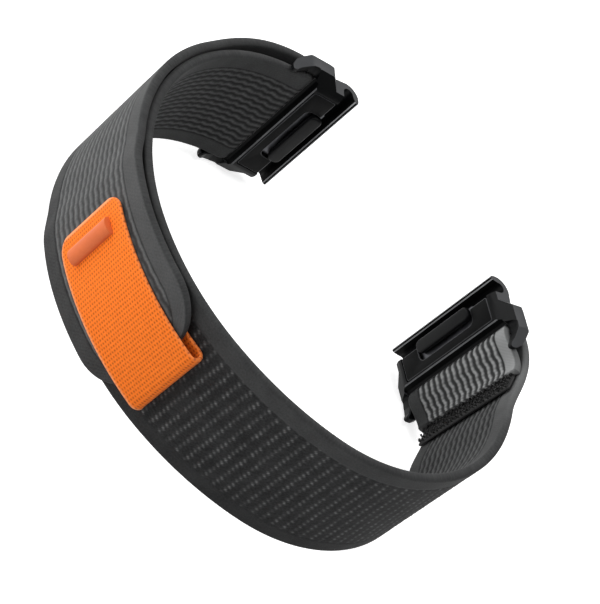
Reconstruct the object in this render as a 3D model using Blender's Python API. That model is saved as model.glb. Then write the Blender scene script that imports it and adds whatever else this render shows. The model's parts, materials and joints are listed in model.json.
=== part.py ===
"""A nylon watch strap in one loop: a woven band folded round a spring bar at each end, two hook connectors that
clip to a watch case, a hook-and-loop flap and a webbing pull tab.

Metres, +Z up. The loop stands on its lower edge: X runs across the wrist, +Y points at the gap where the watch
goes, Z runs along the strap's width. Run it with blender --background --python part.py.
"""

import math
from dataclasses import dataclass

import bmesh
import bpy
from mathutils import Matrix, Vector

# Band
BAND_WIDTH = 0.0220
BAND_THICKNESS = 0.00135
BAND_EDGE_ROUND = 0.00045
LAYER_GAP = 0.0002  # between cloth layers that lie on each other
STATION_STEP = 0.0030  # along the band

# Inner (wrist) face of the band, as radius and turn from the bottom centre
LEFT_ARCS = ((0.0360, 29.5), (0.0310, 79.0), (0.0240, 35.0))
RIGHT_ARCS = ((0.0450, 24.0), (0.0272, 80.5), (0.0280, 35.5))

# Folds round the spring bars
BAR_RADIUS = 0.00085
BAR_TO_BAND = 0.00025
RIGHT_BAR_LIFT = 0.0011  # how far the cloth leans outward at the right bar
FLAP_EASE = 0.0180  # from the bar to where the flap lies flat
RIGHT_EASE = 0.0140  # from the bar to where the main layer meets the base curve
END_FOLD_LENGTH = 0.0051  # woven part of the folded end, behind the bar
END_STRIP_WIDTH = 0.0031
END_STRIP_INSET = 0.0007  # from the band's edges
END_SKEW = 0.0020  # how much further back the folded end lies at its upper edge
END_SETTLE = 0.0060  # from the bar to where the folded end lies on the main layer

# Flap with its hook patch
FLAP_SPLIT = 0.0330  # from the bottom centre to the line the flap peels at
FLAP_TIP = 0.0046  # from the bottom centre to the tip
FLAP_TIP_ROUND = 0.0064
FLAP_TIP_FLAT_SHARE = 0.42
FLAP_SHIFT = 0.0005  # of the laid flap towards the upper edge
FLAP_SHIFT_LENGTH = 0.0300  # from the bar to where it has all of that shift
FLAP_RISE_LENGTH = 0.0055
SPLIT_GAP = 0.0003
PATCH_THICKNESS = 0.0004
PATCH_LENGTH = 0.0140
PATCH_INSET = 0.0020
PATCH_WIDTH = BAND_WIDTH - 2 * PATCH_INSET
PATCH_FROM_TIP = 0.0050
PATCH_EDGE_ROUND = 0.00012

# Pull tab
TAB_WIDTH = 0.0135
TAB_THICKNESS = 0.00055
TAB_LENGTH = 0.0222  # from its top edge to the middle of its fold, along the base curve
TAB_FOLD = 0.0024  # from the bottom centre to the middle of its fold
TAB_CORNER = 0.0020
TAB_UNDER_LENGTH = 0.0060
TAB_TOP_SHIFT = 0.0009  # of its top towards the upper edge; the fold has none
TAB_EDGE_ROUND = 0.00022
BEAD_LENGTH = 0.0086
BEAD_WIDTH = 0.0026
BEAD_HEIGHT = 0.0009
BEAD_FROM_TOP = 0.0033
BEAD_CORNER = 0.0007

# Connector, measured from the spring bar's axis: forward to the watch, and outward from the wrist
BAR_TO_LIP = 0.0100
HOOK_RADIUS = 0.0024
HOOK_TIP_TURN = 20.0  # degrees that the lip's arc runs past level, towards the wrist
HOOK_CENTRE_BACK = 0.0021
HOOK_CENTRE_BELOW = 0.0016
LIP_THICKNESS = 0.00065
CHANNEL_WIDTH = 0.0018
CHANNEL_TOP_BELOW = 0.0002
SHOULDER_TOP = 0.0005
BODY_REAR = 0.0023
BODY_FACE = 0.0028
BODY_TOP_REAR = 0.0007
BODY_OVER_BAND = 0.00035  # past each edge of the band
BODY_WIDTH = BAND_WIDTH + 2 * BODY_OVER_BAND
BODY_CHAMFER = 0.0027
BODY_CHAMFER_RISE = 0.0014
FOLD_CLEARANCE = 0.00035
FRONT_EDGE_ROUND = 0.0003

# Ears that hold the spring bar
EAR_INNER_GAP = 0.00015  # between the band's edge and an ear
EAR_THICKNESS = 0.00185
EAR_SPAN = BAND_WIDTH + 2 * (EAR_INNER_GAP + EAR_THICKNESS)
EAR_FRONT = 0.0059
EAR_REAR = 0.0029
EAR_TOP = 0.0009
EAR_DROP = 0.0031
EAR_ROUND = 0.0006
EAR_TAIL_START = 0.0005  # where the tail begins to narrow, forward of the bar
EAR_TAIL_NARROWING = 0.0011  # at its end, from the outside

# Latch in the connector
FIT_GAP = 0.00015
SLIDE_GAP = 0.0002
FRONT_WALL = 0.0007
POCKET_REAR = 0.0033
POCKET_INSET = 0.0024
POCKET_WIDTH = BAND_WIDTH - 2 * POCKET_INSET
POCKET_TOP_BELOW = 0.0006
COVER_REAR_RIM = 0.0007
COVER_SIDE_RIM = 0.0005
COVER_THICKNESS = 0.0005
LATCH_TRAVEL = 0.0009
LATCH_LENGTH = 0.0021
LATCH_END_GAP = 0.0003
LATCH_WIDTH = POCKET_WIDTH - 2 * LATCH_END_GAP
LATCH_THICKNESS = 0.0011
TOOTH_WIDTH = 0.0025
TOOTH_PITCH = 0.0095
TOOTH_THICKNESS = 0.0007
TOOTH_REACH = 0.0006  # into the channel
BUTTON_LENGTH = 0.0116
BUTTON_WIDTH = 0.0022
BUTTON_PROUD = 0.0005
BUTTON_OVERHANG = 0.0006  # over the channel
BUTTON_CLEARANCE = 0.0002
LATCH_SPRING_RADIUS = 0.0005
LATCH_SPRING_FROM_END = 0.0013
LATCH_SPRING_PITCH = LATCH_WIDTH - 2 * LATCH_SPRING_FROM_END
LATCH_SPRING_SEAT = 0.0011

# Spring bar
TUBE_END_GAP = 0.0003  # inside each edge of the band
TUBE_LENGTH = BAND_WIDTH - 2 * TUBE_END_GAP
TUBE_WALL = 0.0003
TUBE_CRIMP_LENGTH = 0.0005
TIP_RADIUS = 0.00035
TIP_HEAD_RADIUS = 0.00045
TIP_HEAD_LENGTH = 0.0012
TIP_INTO_EAR = 0.0012
TIP_HEAD_PLAY = 0.0001
BAR_SPRING_WALL = 0.0002

CUT_OVERRUN = 0.0010

ROUND_STEPS = 16
SMALL_ROUND_STEPS = 12
CORNER_STEPS = 4
FLAT_TURN = 0.1  # degrees; a face that bends more is split

MIDDLE = EAR_SPAN / 2  # height of the band's middle
FOLD_RADIUS = BAR_RADIUS + BAR_TO_BAND  # inner face of the band round the bar
FOLD_OUTER = FOLD_RADIUS + BAND_THICKNESS
FLAP_LIFT = PATCH_THICKNESS + 2 * LAYER_GAP  # of the flap over the band, where the patch lies between


def clear_scene():
    for old in list(bpy.data.objects):
        bpy.data.objects.remove(old, do_unlink=True)


def material(name, colour, roughness, metallic=0.0):
    made = bpy.data.materials.new(name)
    made.use_nodes = True
    shader = made.node_tree.nodes["Principled BSDF"]
    shader.inputs["Base Color"].default_value = (*colour, 1.0)
    shader.inputs["Roughness"].default_value = roughness
    shader.inputs["Metallic"].default_value = metallic
    made.diffuse_color = (*colour, 1.0)
    return made


def mesh_object(name, points, faces, surface, parent=None, crease=35.0):
    mesh = bpy.data.meshes.new(name)
    mesh.from_pydata([tuple(p) for p in points], [], faces)
    work = bmesh.new()
    work.from_mesh(mesh)
    bmesh.ops.recalc_face_normals(work, faces=work.faces)
    bmesh.ops.connect_verts_nonplanar(work, angle_limit=math.radians(FLAT_TURN), faces=work.faces)
    work.to_mesh(mesh)
    work.free()
    mesh.materials.append(surface)
    mesh.shade_smooth()
    mesh.set_sharp_from_angle(angle=math.radians(crease))
    made = bpy.data.objects.new(name, mesh)
    made.parent = parent
    bpy.context.scene.collection.objects.link(made)
    return made


def empty(name, matrix):
    made = bpy.data.objects.new(name, None)
    made.matrix_world = matrix
    bpy.context.scene.collection.objects.link(made)
    return made


def ease(share):
    """0 before the start, 1 after the end, smooth between."""
    share = min(max(share, 0.0), 1.0)
    return share * share * (3 - 2 * share)


def steps(start, end, spacing):
    count = max(1, math.ceil(abs(end - start) / spacing))
    return [start + (end - start) * i / count for i in range(count + 1)]


@dataclass
class Side:
    """One half of the loop: arcs from the bottom centre to the spring bar, mirrored on the left."""

    name: str
    sign: float
    arcs: tuple
    bar_lift: float

    @property
    def length(self):
        return sum(radius * math.radians(turn) for radius, turn in self.arcs)

    def at(self, distance, offset, shift=0.0):
        """The point this far along the inner face, moved outward by offset and up by shift."""
        x = 0.0
        y = 0.0
        heading = 0.0
        left = distance
        for radius, turn in self.arcs:
            part = min(left, radius * math.radians(turn))
            centre = (x - radius * math.sin(heading), y + radius * math.cos(heading))
            heading += part / radius
            x = centre[0] + radius * math.sin(heading)
            y = centre[1] - radius * math.cos(heading)
            left -= part
            if left <= 0:
                break
        x += left * math.cos(heading) + offset * math.sin(heading)
        y += left * math.sin(heading) - offset * math.cos(heading)
        return Vector((self.sign * x, y, MIDDLE + shift))

    def directions(self, distance):
        """Forward along the path and outward from the wrist."""
        heading = 0.0
        left = distance
        for radius, turn in self.arcs:
            part = min(left, radius * math.radians(turn))
            heading += part / radius
            left -= part
        forward = Vector((self.sign * math.cos(heading), math.sin(heading), 0.0))
        outward = Vector((self.sign * math.sin(heading), -math.cos(heading), 0.0))
        return forward, outward

    def bar_frame(self):
        """The connector's frame: origin on the bar, X forward to the watch, Y outward from the wrist."""
        forward, outward = self.directions(self.length)
        origin = self.at(self.length, FOLD_OUTER + self.bar_lift)
        across = forward.cross(outward)
        frame = Matrix((forward, outward, across)).transposed().to_4x4()
        frame.translation = origin
        return frame

    def round_bar(self):
        """Middle of the band round the bar, from the wrist side over the front to the outside."""
        frame = self.bar_frame()
        radius = FOLD_RADIUS + BAND_THICKNESS / 2
        turns = [math.radians(-90 + 180 * i / ROUND_STEPS) for i in range(1, ROUND_STEPS)]
        return [frame @ Vector((radius * math.cos(a), radius * math.sin(a), 0.0)) for a in turns]


LEFT = Side("left", -1.0, LEFT_ARCS, 0.0)
RIGHT = Side("right", 1.0, RIGHT_ARCS, RIGHT_BAR_LIFT)


def ribbon(name, centres, half_widths, thickness, edge_round, surface, skews=None):
    """A strip of cloth along its middle line, with rounded long edges.

    skews gives, per station, how far the strip's upper edge lies ahead of its middle.
    """
    points = []
    half = thickness / 2
    for i, here in enumerate(centres):
        before = centres[max(i - 1, 0)]
        after = centres[min(i + 1, len(centres) - 1)]
        along = (after - before).normalized()
        out = Vector((along.y, -along.x, 0.0))
        for side_z, side_n in ((1, 1), (1, -1), (-1, -1), (-1, 1)):
            corner_z = side_z * (half_widths[i] - edge_round)
            corner_n = side_n * (half - edge_round)
            order = (0, 45, 90) if side_z != side_n else (90, 45, 0)
            for turn in order:
                angle = math.radians(turn)
                z = corner_z + side_z * edge_round * math.cos(angle)
                n = corner_n + side_n * edge_round * math.sin(angle)
                ahead = skews[i] * z / half_widths[i] if skews else 0.0
                points.append(here + out * n + along * ahead + Vector((0.0, 0.0, z)))
    ring = len(points) // len(centres)
    faces = [tuple(range(ring)), tuple(reversed(range(len(points) - ring, len(points))))]
    for i in range(len(centres) - 1):
        for k in range(ring):
            low = i * ring
            nxt = (k + 1) % ring
            faces.append((low + k, low + ring + k, low + ring + nxt, low + nxt))
    return mesh_object(name, points, faces, surface)


def rounded(corners, radius, count=CORNER_STEPS):
    """A closed outline with each corner rounded, as far as its sides allow."""
    out = []
    for i, corner in enumerate(corners):
        here = Vector(corner)
        to_last = Vector(corners[i - 1]) - here
        to_next = Vector(corners[(i + 1) % len(corners)]) - here
        half_angle = to_last.angle(to_next) / 2
        reach = min(radius / math.tan(half_angle), to_last.length * 0.45, to_next.length * 0.45)
        start = here + to_last.normalized() * reach
        end = here + to_next.normalized() * reach
        for k in range(count + 1):
            share = k / count
            out.append(start.lerp(here, share).lerp(here.lerp(end, share), share))
    return out


def prism(name, outline, low, high, surface, parent):
    """An outline in the connector's X-Y plane, extruded across the width."""
    count = len(outline)
    points = [(x, y, z) for z in (low, high) for x, y in outline]
    faces = [tuple(reversed(range(count))), tuple(range(count, 2 * count))]
    for i in range(count):
        nxt = (i + 1) % count
        faces.append((i, nxt, count + nxt, count + i))
    return mesh_object(name, points, faces, surface, parent)


def block(name, x, y, z, surface, parent):
    """A box between the given pairs of limits."""
    outline = [(x[0], y[0]), (x[1], y[0]), (x[1], y[1]), (x[0], y[1])]
    return prism(name, outline, z[0], z[1], surface, parent)


def turned(name, profile, surface, parent, count=ROUND_STEPS, axis="Z"):
    """A closed profile of (radius, height) turned about the parent's axis; radius 0 is on the axis."""
    points = []
    rings = []
    for radius, height in profile:
        if radius == 0:
            rings.append([len(points)])
            points.append((0.0, 0.0, height))
            continue
        ring = []
        for k in range(count):
            angle = 2 * math.pi * k / count
            ring.append(len(points))
            points.append((radius * math.cos(angle), radius * math.sin(angle), height))
        rings.append(ring)
    faces = []
    for i, ring in enumerate(rings):
        after = rings[(i + 1) % len(rings)]
        if len(ring) == 1 and len(after) == 1:
            continue
        for k in range(count):
            nxt = (k + 1) % count
            if len(ring) == 1:
                faces.append((ring[0], after[nxt], after[k]))
            elif len(after) == 1:
                faces.append((ring[k], ring[nxt], after[0]))
            else:
                faces.append((ring[k], ring[nxt], after[nxt], after[k]))
    if axis == "X":
        points = [(h, x, y) for x, y, h in points]
    return mesh_object(name, points, faces, surface, parent)


def combine(target, operand, operation):
    """A Boolean on target with another object, which the build leaves out."""
    operand.hide_render = True
    operand.display_type = "WIRE"
    change = target.modifiers.new(operand.name, "BOOLEAN")
    change.operation = operation
    change.solver = "EXACT"
    change.object = operand


def band_main(surface):
    """Folded end, fold, main layer, fold and the fixed part of the flap, in one strip."""
    half = BAND_THICKNESS / 2
    folded = steps(END_FOLD_LENGTH, 0.0, STATION_STEP / 2)
    centres = [RIGHT.at(RIGHT.length - back, half + end_lift(back)) for back in folded]
    skews = [-END_SKEW / 2 * back / END_FOLD_LENGTH for back in folded]
    centres += RIGHT.round_bar()
    for back in steps(0.0, RIGHT.length, STATION_STEP):
        centres.append(RIGHT.at(RIGHT.length - back, half + right_lift(back)))
    centres += [LEFT.at(along, half) for along in steps(0.0, LEFT.length, STATION_STEP)[1:]]
    centres += LEFT.round_bar()
    for back in steps(0.0, LEFT.length - FLAP_SPLIT, STATION_STEP):
        along = LEFT.length - back
        centres.append(LEFT.at(along, half + flap_lift(along), flap_shift(along)))
    skews += [0.0] * (len(centres) - len(skews))
    widths = [BAND_WIDTH / 2] * len(centres)
    ribbon("band_main", centres, widths, BAND_THICKNESS, BAND_EDGE_ROUND, surface, skews)


def right_lift(back):
    """Height of the main layer's inner face over the base curve, this far behind the right bar."""
    return (RIGHT.bar_lift + BAND_THICKNESS + 2 * FOLD_RADIUS) * (1 - ease(back / RIGHT_EASE))


def end_lift(back):
    """The same for the folded end, which comes to lie on the main layer's wrist face."""
    settled = right_lift(back) - LAYER_GAP - BAND_THICKNESS
    return RIGHT.bar_lift + (settled - RIGHT.bar_lift) * ease(back / END_SETTLE)


def flap_lift(along):
    """Height of the flap's inner face over the base curve."""
    back = LEFT.length - along
    at_bar = (2 * FOLD_RADIUS - LAYER_GAP) * (1 - ease(back / FLAP_EASE))
    at_patch = (FLAP_LIFT - LAYER_GAP) * ease((FLAP_SPLIT - along) / FLAP_RISE_LENGTH)
    return BAND_THICKNESS + LAYER_GAP + at_bar + at_patch


def flap_shift(along):
    """How far the flap lies off the band's middle, towards the upper edge."""
    return FLAP_SHIFT * ease((LEFT.length - along) / FLAP_SHIFT_LENGTH)


def flap_tip(surface):
    """The part of the flap that peels off, to its rounded tip."""
    half = BAND_THICKNESS / 2
    round_start = FLAP_TIP + FLAP_TIP_ROUND
    stations = steps(FLAP_SPLIT - SPLIT_GAP, round_start, STATION_STEP)
    shares = [math.sin(math.radians(90 * i / 8)) for i in range(1, 9)]
    stations += [round_start - FLAP_TIP_ROUND * share for share in shares]
    widths = []
    for along in stations:
        share = min(max((round_start - along) / FLAP_TIP_ROUND, 0.0), 1.0)
        narrow = 1 - math.sqrt(1 - share * share)
        widths.append(BAND_WIDTH / 2 * (1 - (1 - FLAP_TIP_FLAT_SHARE) * narrow))
    centres = [LEFT.at(along, half + flap_lift(along), flap_shift(along)) for along in stations]
    return ribbon("flap_tip", centres, widths, BAND_THICKNESS, BAND_EDGE_ROUND, surface)


def flap_hook_patch(surface):
    low = FLAP_TIP + PATCH_FROM_TIP + TAB_UNDER_LENGTH / 2
    middle = BAND_THICKNESS + LAYER_GAP + PATCH_THICKNESS / 2
    centres = [LEFT.at(along, middle, flap_shift(along)) for along in steps(low + PATCH_LENGTH, low, STATION_STEP)]
    widths = [PATCH_WIDTH / 2] * len(centres)
    return ribbon("flap_hook_patch", centres, widths, PATCH_THICKNESS, PATCH_EDGE_ROUND, surface)


def end_hook_strip(surface):
    """The hook tape that finishes the folded end."""
    start = END_FOLD_LENGTH + LAYER_GAP
    middle = BAND_THICKNESS / 2
    stations = steps(start, start + END_STRIP_WIDTH, STATION_STEP / 2)
    centres = [RIGHT.at(RIGHT.length - back, middle + end_lift(back)) for back in stations]
    widths = [BAND_WIDTH / 2 - END_STRIP_INSET] * len(centres)
    skews = [END_SKEW / 2] * len(centres)
    thickness = BAND_THICKNESS - 2 * LAYER_GAP
    ribbon("end_hook_strip", centres, widths, thickness, TAB_EDGE_ROUND, surface, skews)


def tab_offsets():
    """Middle of the tab's upper and lower layers over the base curve."""
    under = BAND_THICKNESS + LAYER_GAP + TAB_THICKNESS / 2
    over = 2 * BAND_THICKNESS + FLAP_LIFT + LAYER_GAP + TAB_THICKNESS / 2
    return over, under


def tab_shift(along):
    """How far the tab's upper layer lies off the band's middle, towards the upper edge."""
    return TAB_TOP_SHIFT * (along - TAB_FOLD) / TAB_LENGTH


def pull_tab(surface):
    """Webbing from over the flap, round a hollow fold, to under the flap's tip."""
    over, under = tab_offsets()
    top = TAB_FOLD + TAB_LENGTH
    turns = [math.radians(90 * i / CORNER_STEPS) for i in range(CORNER_STEPS + 1)]
    stations = [top - TAB_CORNER * (1 - math.cos(a)) for a in turns]
    widths = [TAB_WIDTH / 2 - TAB_CORNER * (1 - math.sin(a)) for a in turns]
    more = steps(top - TAB_CORNER, TAB_FOLD, STATION_STEP)[1:]
    stations += more
    widths += [TAB_WIDTH / 2] * len(more)
    centres = [LEFT.at(along, over, tab_shift(along)) for along in stations]
    forward, outward = LEFT.directions(TAB_FOLD)
    middle = LEFT.at(TAB_FOLD, (over + under) / 2)
    radius = (over - under) / 2
    for i in range(1, ROUND_STEPS // 2):
        angle = math.radians(360 * i / ROUND_STEPS)
        centres.append(middle + radius * (outward * math.cos(angle) - forward * math.sin(angle)))
    below = steps(TAB_FOLD, FLAP_TIP + TAB_UNDER_LENGTH, STATION_STEP)
    centres += [LEFT.at(along, under) for along in below]
    widths += [TAB_WIDTH / 2] * (len(centres) - len(widths))
    return ribbon("pull_tab", centres, widths, TAB_THICKNESS, TAB_EDGE_ROUND, surface)


def tab_bead(surface):
    """The moulded grip across the tab's top."""
    over, _ = tab_offsets()
    along = TAB_FOLD + TAB_LENGTH - BEAD_FROM_TOP
    forward, outward = LEFT.directions(along)
    base = LEFT.at(along, over + TAB_THICKNESS / 2 + LAYER_GAP, tab_shift(along))
    points = []
    levels = 4
    for level in range(levels):
        rise = math.radians(75 * level / (levels - 1))
        narrow = BEAD_WIDTH / 2 * math.cos(rise)
        long = BEAD_LENGTH / 2 - BEAD_CORNER * (1 - math.cos(rise))
        corners = [(-narrow, -long), (narrow, -long), (narrow, long), (-narrow, long)]
        for ahead, across in rounded(corners, BEAD_CORNER, 3):
            lift = BEAD_HEIGHT * math.sin(rise)
            points.append(base + forward * ahead + outward * lift + Vector((0.0, 0.0, across)))
    ring = len(points) // levels
    faces = [tuple(range(ring)), tuple(reversed(range(len(points) - ring, len(points))))]
    for level in range(levels - 1):
        for k in range(ring):
            low = level * ring
            nxt = (k + 1) % ring
            faces.append((low + k, low + ring + k, low + ring + nxt, low + nxt))
    return mesh_object("tab_bead", points, faces, surface)


def body_outline():
    """The connector's section: hook, channel, shoulder, flat wrist face and the wall round the fold."""
    centre = Vector((BAR_TO_LIP - HOOK_CENTRE_BACK, -HOOK_CENTRE_BELOW))
    front = channel_rear()
    outline = []
    for i in range(ROUND_STEPS + 1):
        angle = math.radians(-HOOK_TIP_TURN + (90 + HOOK_TIP_TURN) * i / ROUND_STEPS)
        outline.append(centre + HOOK_RADIUS * Vector((math.cos(angle), math.sin(angle))))
    outline.append(Vector((EAR_FRONT, SHOULDER_TOP)))
    wall = FOLD_OUTER + FOLD_CLEARANCE
    start = math.asin(BODY_TOP_REAR / wall)
    end = -math.acos(min(BODY_REAR / wall, 1.0))
    outline += [wall * Vector((math.cos(a), math.sin(a))) for a in steps(start, end, math.radians(10))]
    outline.append(Vector((BODY_REAR, -BODY_FACE)))
    outline.append(Vector((front - FRONT_EDGE_ROUND, -BODY_FACE)))
    outline.append(Vector((front, -BODY_FACE + FRONT_EDGE_ROUND)))
    slot = CHANNEL_WIDTH / 2
    slot_centre = Vector((front + slot, -CHANNEL_TOP_BELOW - slot))
    for i in range(SMALL_ROUND_STEPS // 2 + 1):
        angle = math.radians(180 - 360 * i / SMALL_ROUND_STEPS)
        outline.append(slot_centre + slot * Vector((math.cos(angle), math.sin(angle))))
    tip = math.radians(-HOOK_TIP_TURN)
    outline.append(centre + (HOOK_RADIUS - LIP_THICKNESS) * Vector((math.cos(tip), math.sin(tip))))
    return outline


def channel_rear():
    """Where the channel's rear wall, and so the body's front face, stands."""
    return BAR_TO_LIP - LIP_THICKNESS - CHANNEL_WIDTH - FIT_GAP


def ear_outline():
    """One ear seen along the width, with its tail behind the bar."""
    corners = [
        (EAR_FRONT, SHOULDER_TOP),
        (EAR_FRONT * 0.6, EAR_TOP),
        (0.0, EAR_TOP * 0.95),
        (-EAR_REAR * 0.42, EAR_TOP * 0.10),
        (-EAR_REAR * 0.80, -EAR_DROP * 0.28),
        (-EAR_REAR, -EAR_DROP * 0.70),
        (-EAR_REAR * 0.97, -EAR_DROP),
        (-EAR_REAR * 0.78, -EAR_DROP),
        (-EAR_REAR * 0.50, -EAR_DROP * 0.76),
        (-EAR_REAR * 0.03, -EAR_DROP * 0.53),
        (BODY_REAR * 0.7, -EAR_DROP * 0.42),
        (BODY_REAR, -BODY_FACE),
        (EAR_FRONT, -BODY_FACE),
    ]
    return rounded(corners, EAR_ROUND, 2)


def frame(side, at, surface):
    """The connector's housing with its hook and both ears."""
    half = BODY_WIDTH / 2
    reach = EAR_SPAN / 2
    body = prism(f"{side}_frame", body_outline(), -half, half, surface, at)
    inner = BAND_WIDTH / 2 + EAR_INNER_GAP
    front = channel_rear()
    slope = BODY_CHAMFER_RISE / BODY_CHAMFER
    tall = (-BODY_FACE - CUT_OVERRUN, EAR_TOP + CUT_OVERRUN)
    for end, sign in (("a", -1), ("b", 1)):
        ear = prism(f"{side}_ear_{end}", ear_outline(), *sorted((sign * inner, sign * reach)), surface, at)
        combine(body, ear, "UNION")
        corner = reach - BODY_CHAMFER
        deep = BODY_CHAMFER + CUT_OVERRUN
        wedge = [
            (-BODY_FACE, corner),
            (-BODY_FACE + slope * deep, corner + deep),
            (-BODY_FACE - CUT_OVERRUN, corner + deep),
            (-BODY_FACE - CUT_OVERRUN, corner),
        ]
        points = [(x, y, sign * z) for x in (BODY_REAR / 2, front + CHANNEL_WIDTH / 2) for y, z in wedge]
        add_wedge(f"{side}_chamfer_{end}", points, body, at)
        over = reach - half + CUT_OVERRUN
        front_cut = [
            (EAR_FRONT, half),
            (EAR_FRONT - over, half + over),
            (EAR_FRONT + CUT_OVERRUN, half + over),
            (EAR_FRONT + CUT_OVERRUN, half),
        ]
        tail = EAR_REAR + EAR_TAIL_START
        past = 1 + CUT_OVERRUN / tail
        tail_cut = (
            (EAR_TAIL_START, reach),
            (EAR_TAIL_START - tail * past, reach - EAR_TAIL_NARROWING * past),
            (EAR_TAIL_START - tail * past, reach + CUT_OVERRUN),
            (EAR_TAIL_START, reach + CUT_OVERRUN),
        )
        for place, cut in (("front", front_cut), ("tail", tail_cut)):
            points = [(x, y, sign * z) for y in tall for x, z in cut]
            add_wedge(f"{side}_{place}_cut_{end}", points, body, at)
    bore = TIP_RADIUS + FIT_GAP
    depth = inner + TIP_INTO_EAR + FIT_GAP
    cut = turned(f"{side}_bar_bore", [(0, -depth), (bore, -depth), (bore, depth), (0, depth)], surface, at)
    combine(body, cut, "DIFFERENCE")
    pocket = block(
        f"{side}_pocket",
        (POCKET_REAR, front - FRONT_WALL),
        (-BODY_FACE - CUT_OVERRUN, -POCKET_TOP_BELOW),
        (-POCKET_WIDTH / 2, POCKET_WIDTH / 2),
        surface,
        at,
    )
    combine(body, pocket, "DIFFERENCE")
    recess_half = reach - BODY_CHAMFER - COVER_SIDE_RIM
    recess = block(
        f"{side}_recess",
        (BODY_REAR + COVER_REAR_RIM, front + CUT_OVERRUN),
        (-BODY_FACE - CUT_OVERRUN, cover_floor()),
        (-recess_half, recess_half),
        surface,
        at,
    )
    combine(body, recess, "DIFFERENCE")
    for end, sign in (("a", -1), ("b", 1)):
        across = sign * TOOTH_PITCH / 2
        wide = TOOTH_WIDTH / 2 + SLIDE_GAP
        window = block(
            f"{side}_window_{end}",
            (front - FRONT_WALL - CUT_OVERRUN, front + CUT_OVERRUN),
            (tooth_low() - SLIDE_GAP, tooth_low() + TOOTH_THICKNESS + SLIDE_GAP),
            (across - wide, across + wide),
            surface,
            at,
        )
        combine(body, window, "DIFFERENCE")


def add_wedge(name, points, body, at):
    """A four-sided cutter between two copies of its outline."""
    faces = [(0, 1, 2, 3), (7, 6, 5, 4), (0, 4, 5, 1), (1, 5, 6, 2), (2, 6, 7, 3), (3, 7, 4, 0)]
    combine(body, mesh_object(name, points, faces, body.data.materials[0], at), "DIFFERENCE")


def cover_floor():
    """Floor of the recess that the cover lies in."""
    return -BODY_FACE + COVER_THICKNESS + FIT_GAP


def latch_low():
    """The latch plate's wrist-side face."""
    return cover_floor() + FIT_GAP / 2


def tooth_low():
    return latch_low() + (LATCH_THICKNESS - TOOTH_THICKNESS) / 2


def inner_cover(side, at, surface):
    """The plate that closes the latch pocket, open at its front for the button."""
    front = channel_rear()
    half = EAR_SPAN / 2 - BODY_CHAMFER - COVER_SIDE_RIM - FIT_GAP
    cover = block(
        f"{side}_inner_cover",
        (BODY_REAR + COVER_REAR_RIM + FIT_GAP, front - FIT_GAP),
        (-BODY_FACE, -BODY_FACE + COVER_THICKNESS),
        (-half, half),
        surface,
        at,
    )
    rear = front + BUTTON_OVERHANG - BUTTON_WIDTH - LATCH_TRAVEL - BUTTON_CLEARANCE
    long = BUTTON_LENGTH / 2 + BUTTON_CLEARANCE
    low = -BODY_FACE - CUT_OVERRUN
    high = -BODY_FACE + COVER_THICKNESS + CUT_OVERRUN
    past = front + BUTTON_WIDTH
    outline = rounded([(rear, -long), (rear, long), (past, long), (past, -long)], BUTTON_WIDTH / 2)
    points = [(x, y, z) for y in (low, high) for x, z in outline]
    count = len(outline)
    faces = [tuple(range(count)), tuple(reversed(range(count, 2 * count)))]
    faces += [(i, count + i, count + (i + 1) % count, (i + 1) % count) for i in range(count)]
    combine(cover, mesh_object(f"{side}_button_slot", points, faces, surface, at), "DIFFERENCE")


def latch_plate(side, at, surface):
    """The sliding plate with two teeth at its front and two spring seats at its rear."""
    front = channel_rear() - FRONT_WALL - SLIDE_GAP
    rear = front - LATCH_LENGTH
    low = latch_low()
    plate = block(
        f"{side}_latch_plate",
        (rear, front),
        (low, low + LATCH_THICKNESS),
        (-LATCH_WIDTH / 2, LATCH_WIDTH / 2),
        surface,
        at,
    )
    for end, sign in (("a", -1), ("b", 1)):
        across = sign * TOOTH_PITCH / 2
        wide = TOOTH_WIDTH / 2
        tooth = block(
            f"{side}_tooth_{end}",
            (front - SLIDE_GAP, channel_rear() + TOOTH_REACH),
            (tooth_low(), tooth_low() + TOOTH_THICKNESS),
            (across - wide, across + wide),
            surface,
            at,
        )
        combine(plate, tooth, "UNION")
        across = sign * LATCH_SPRING_PITCH / 2
        wide = LATCH_SPRING_RADIUS + FIT_GAP
        seat = block(
            f"{side}_seat_{end}",
            (rear - CUT_OVERRUN, rear + LATCH_SPRING_SEAT),
            (low - CUT_OVERRUN, low + LATCH_THICKNESS + CUT_OVERRUN),
            (across - wide, across + wide),
            surface,
            at,
        )
        combine(plate, seat, "DIFFERENCE")


def latch_springs(side, at, surface):
    """Two short springs from the pocket's rear wall to their seats in the plate."""
    rear = channel_rear() - FRONT_WALL - SLIDE_GAP - LATCH_LENGTH
    start = POCKET_REAR + FIT_GAP
    end = rear + LATCH_SPRING_SEAT - FIT_GAP
    height = latch_low() + LATCH_THICKNESS / 2
    for name, sign in (("a", -1), ("b", 1)):
        profile = [(0, start), (LATCH_SPRING_RADIUS, start), (LATCH_SPRING_RADIUS, end), (0, end)]
        spring = turned(f"{side}_latch_spring_{name}", profile, surface, at, SMALL_ROUND_STEPS, "X")
        spring.location = (0.0, height, sign * LATCH_SPRING_PITCH / 2)


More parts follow.
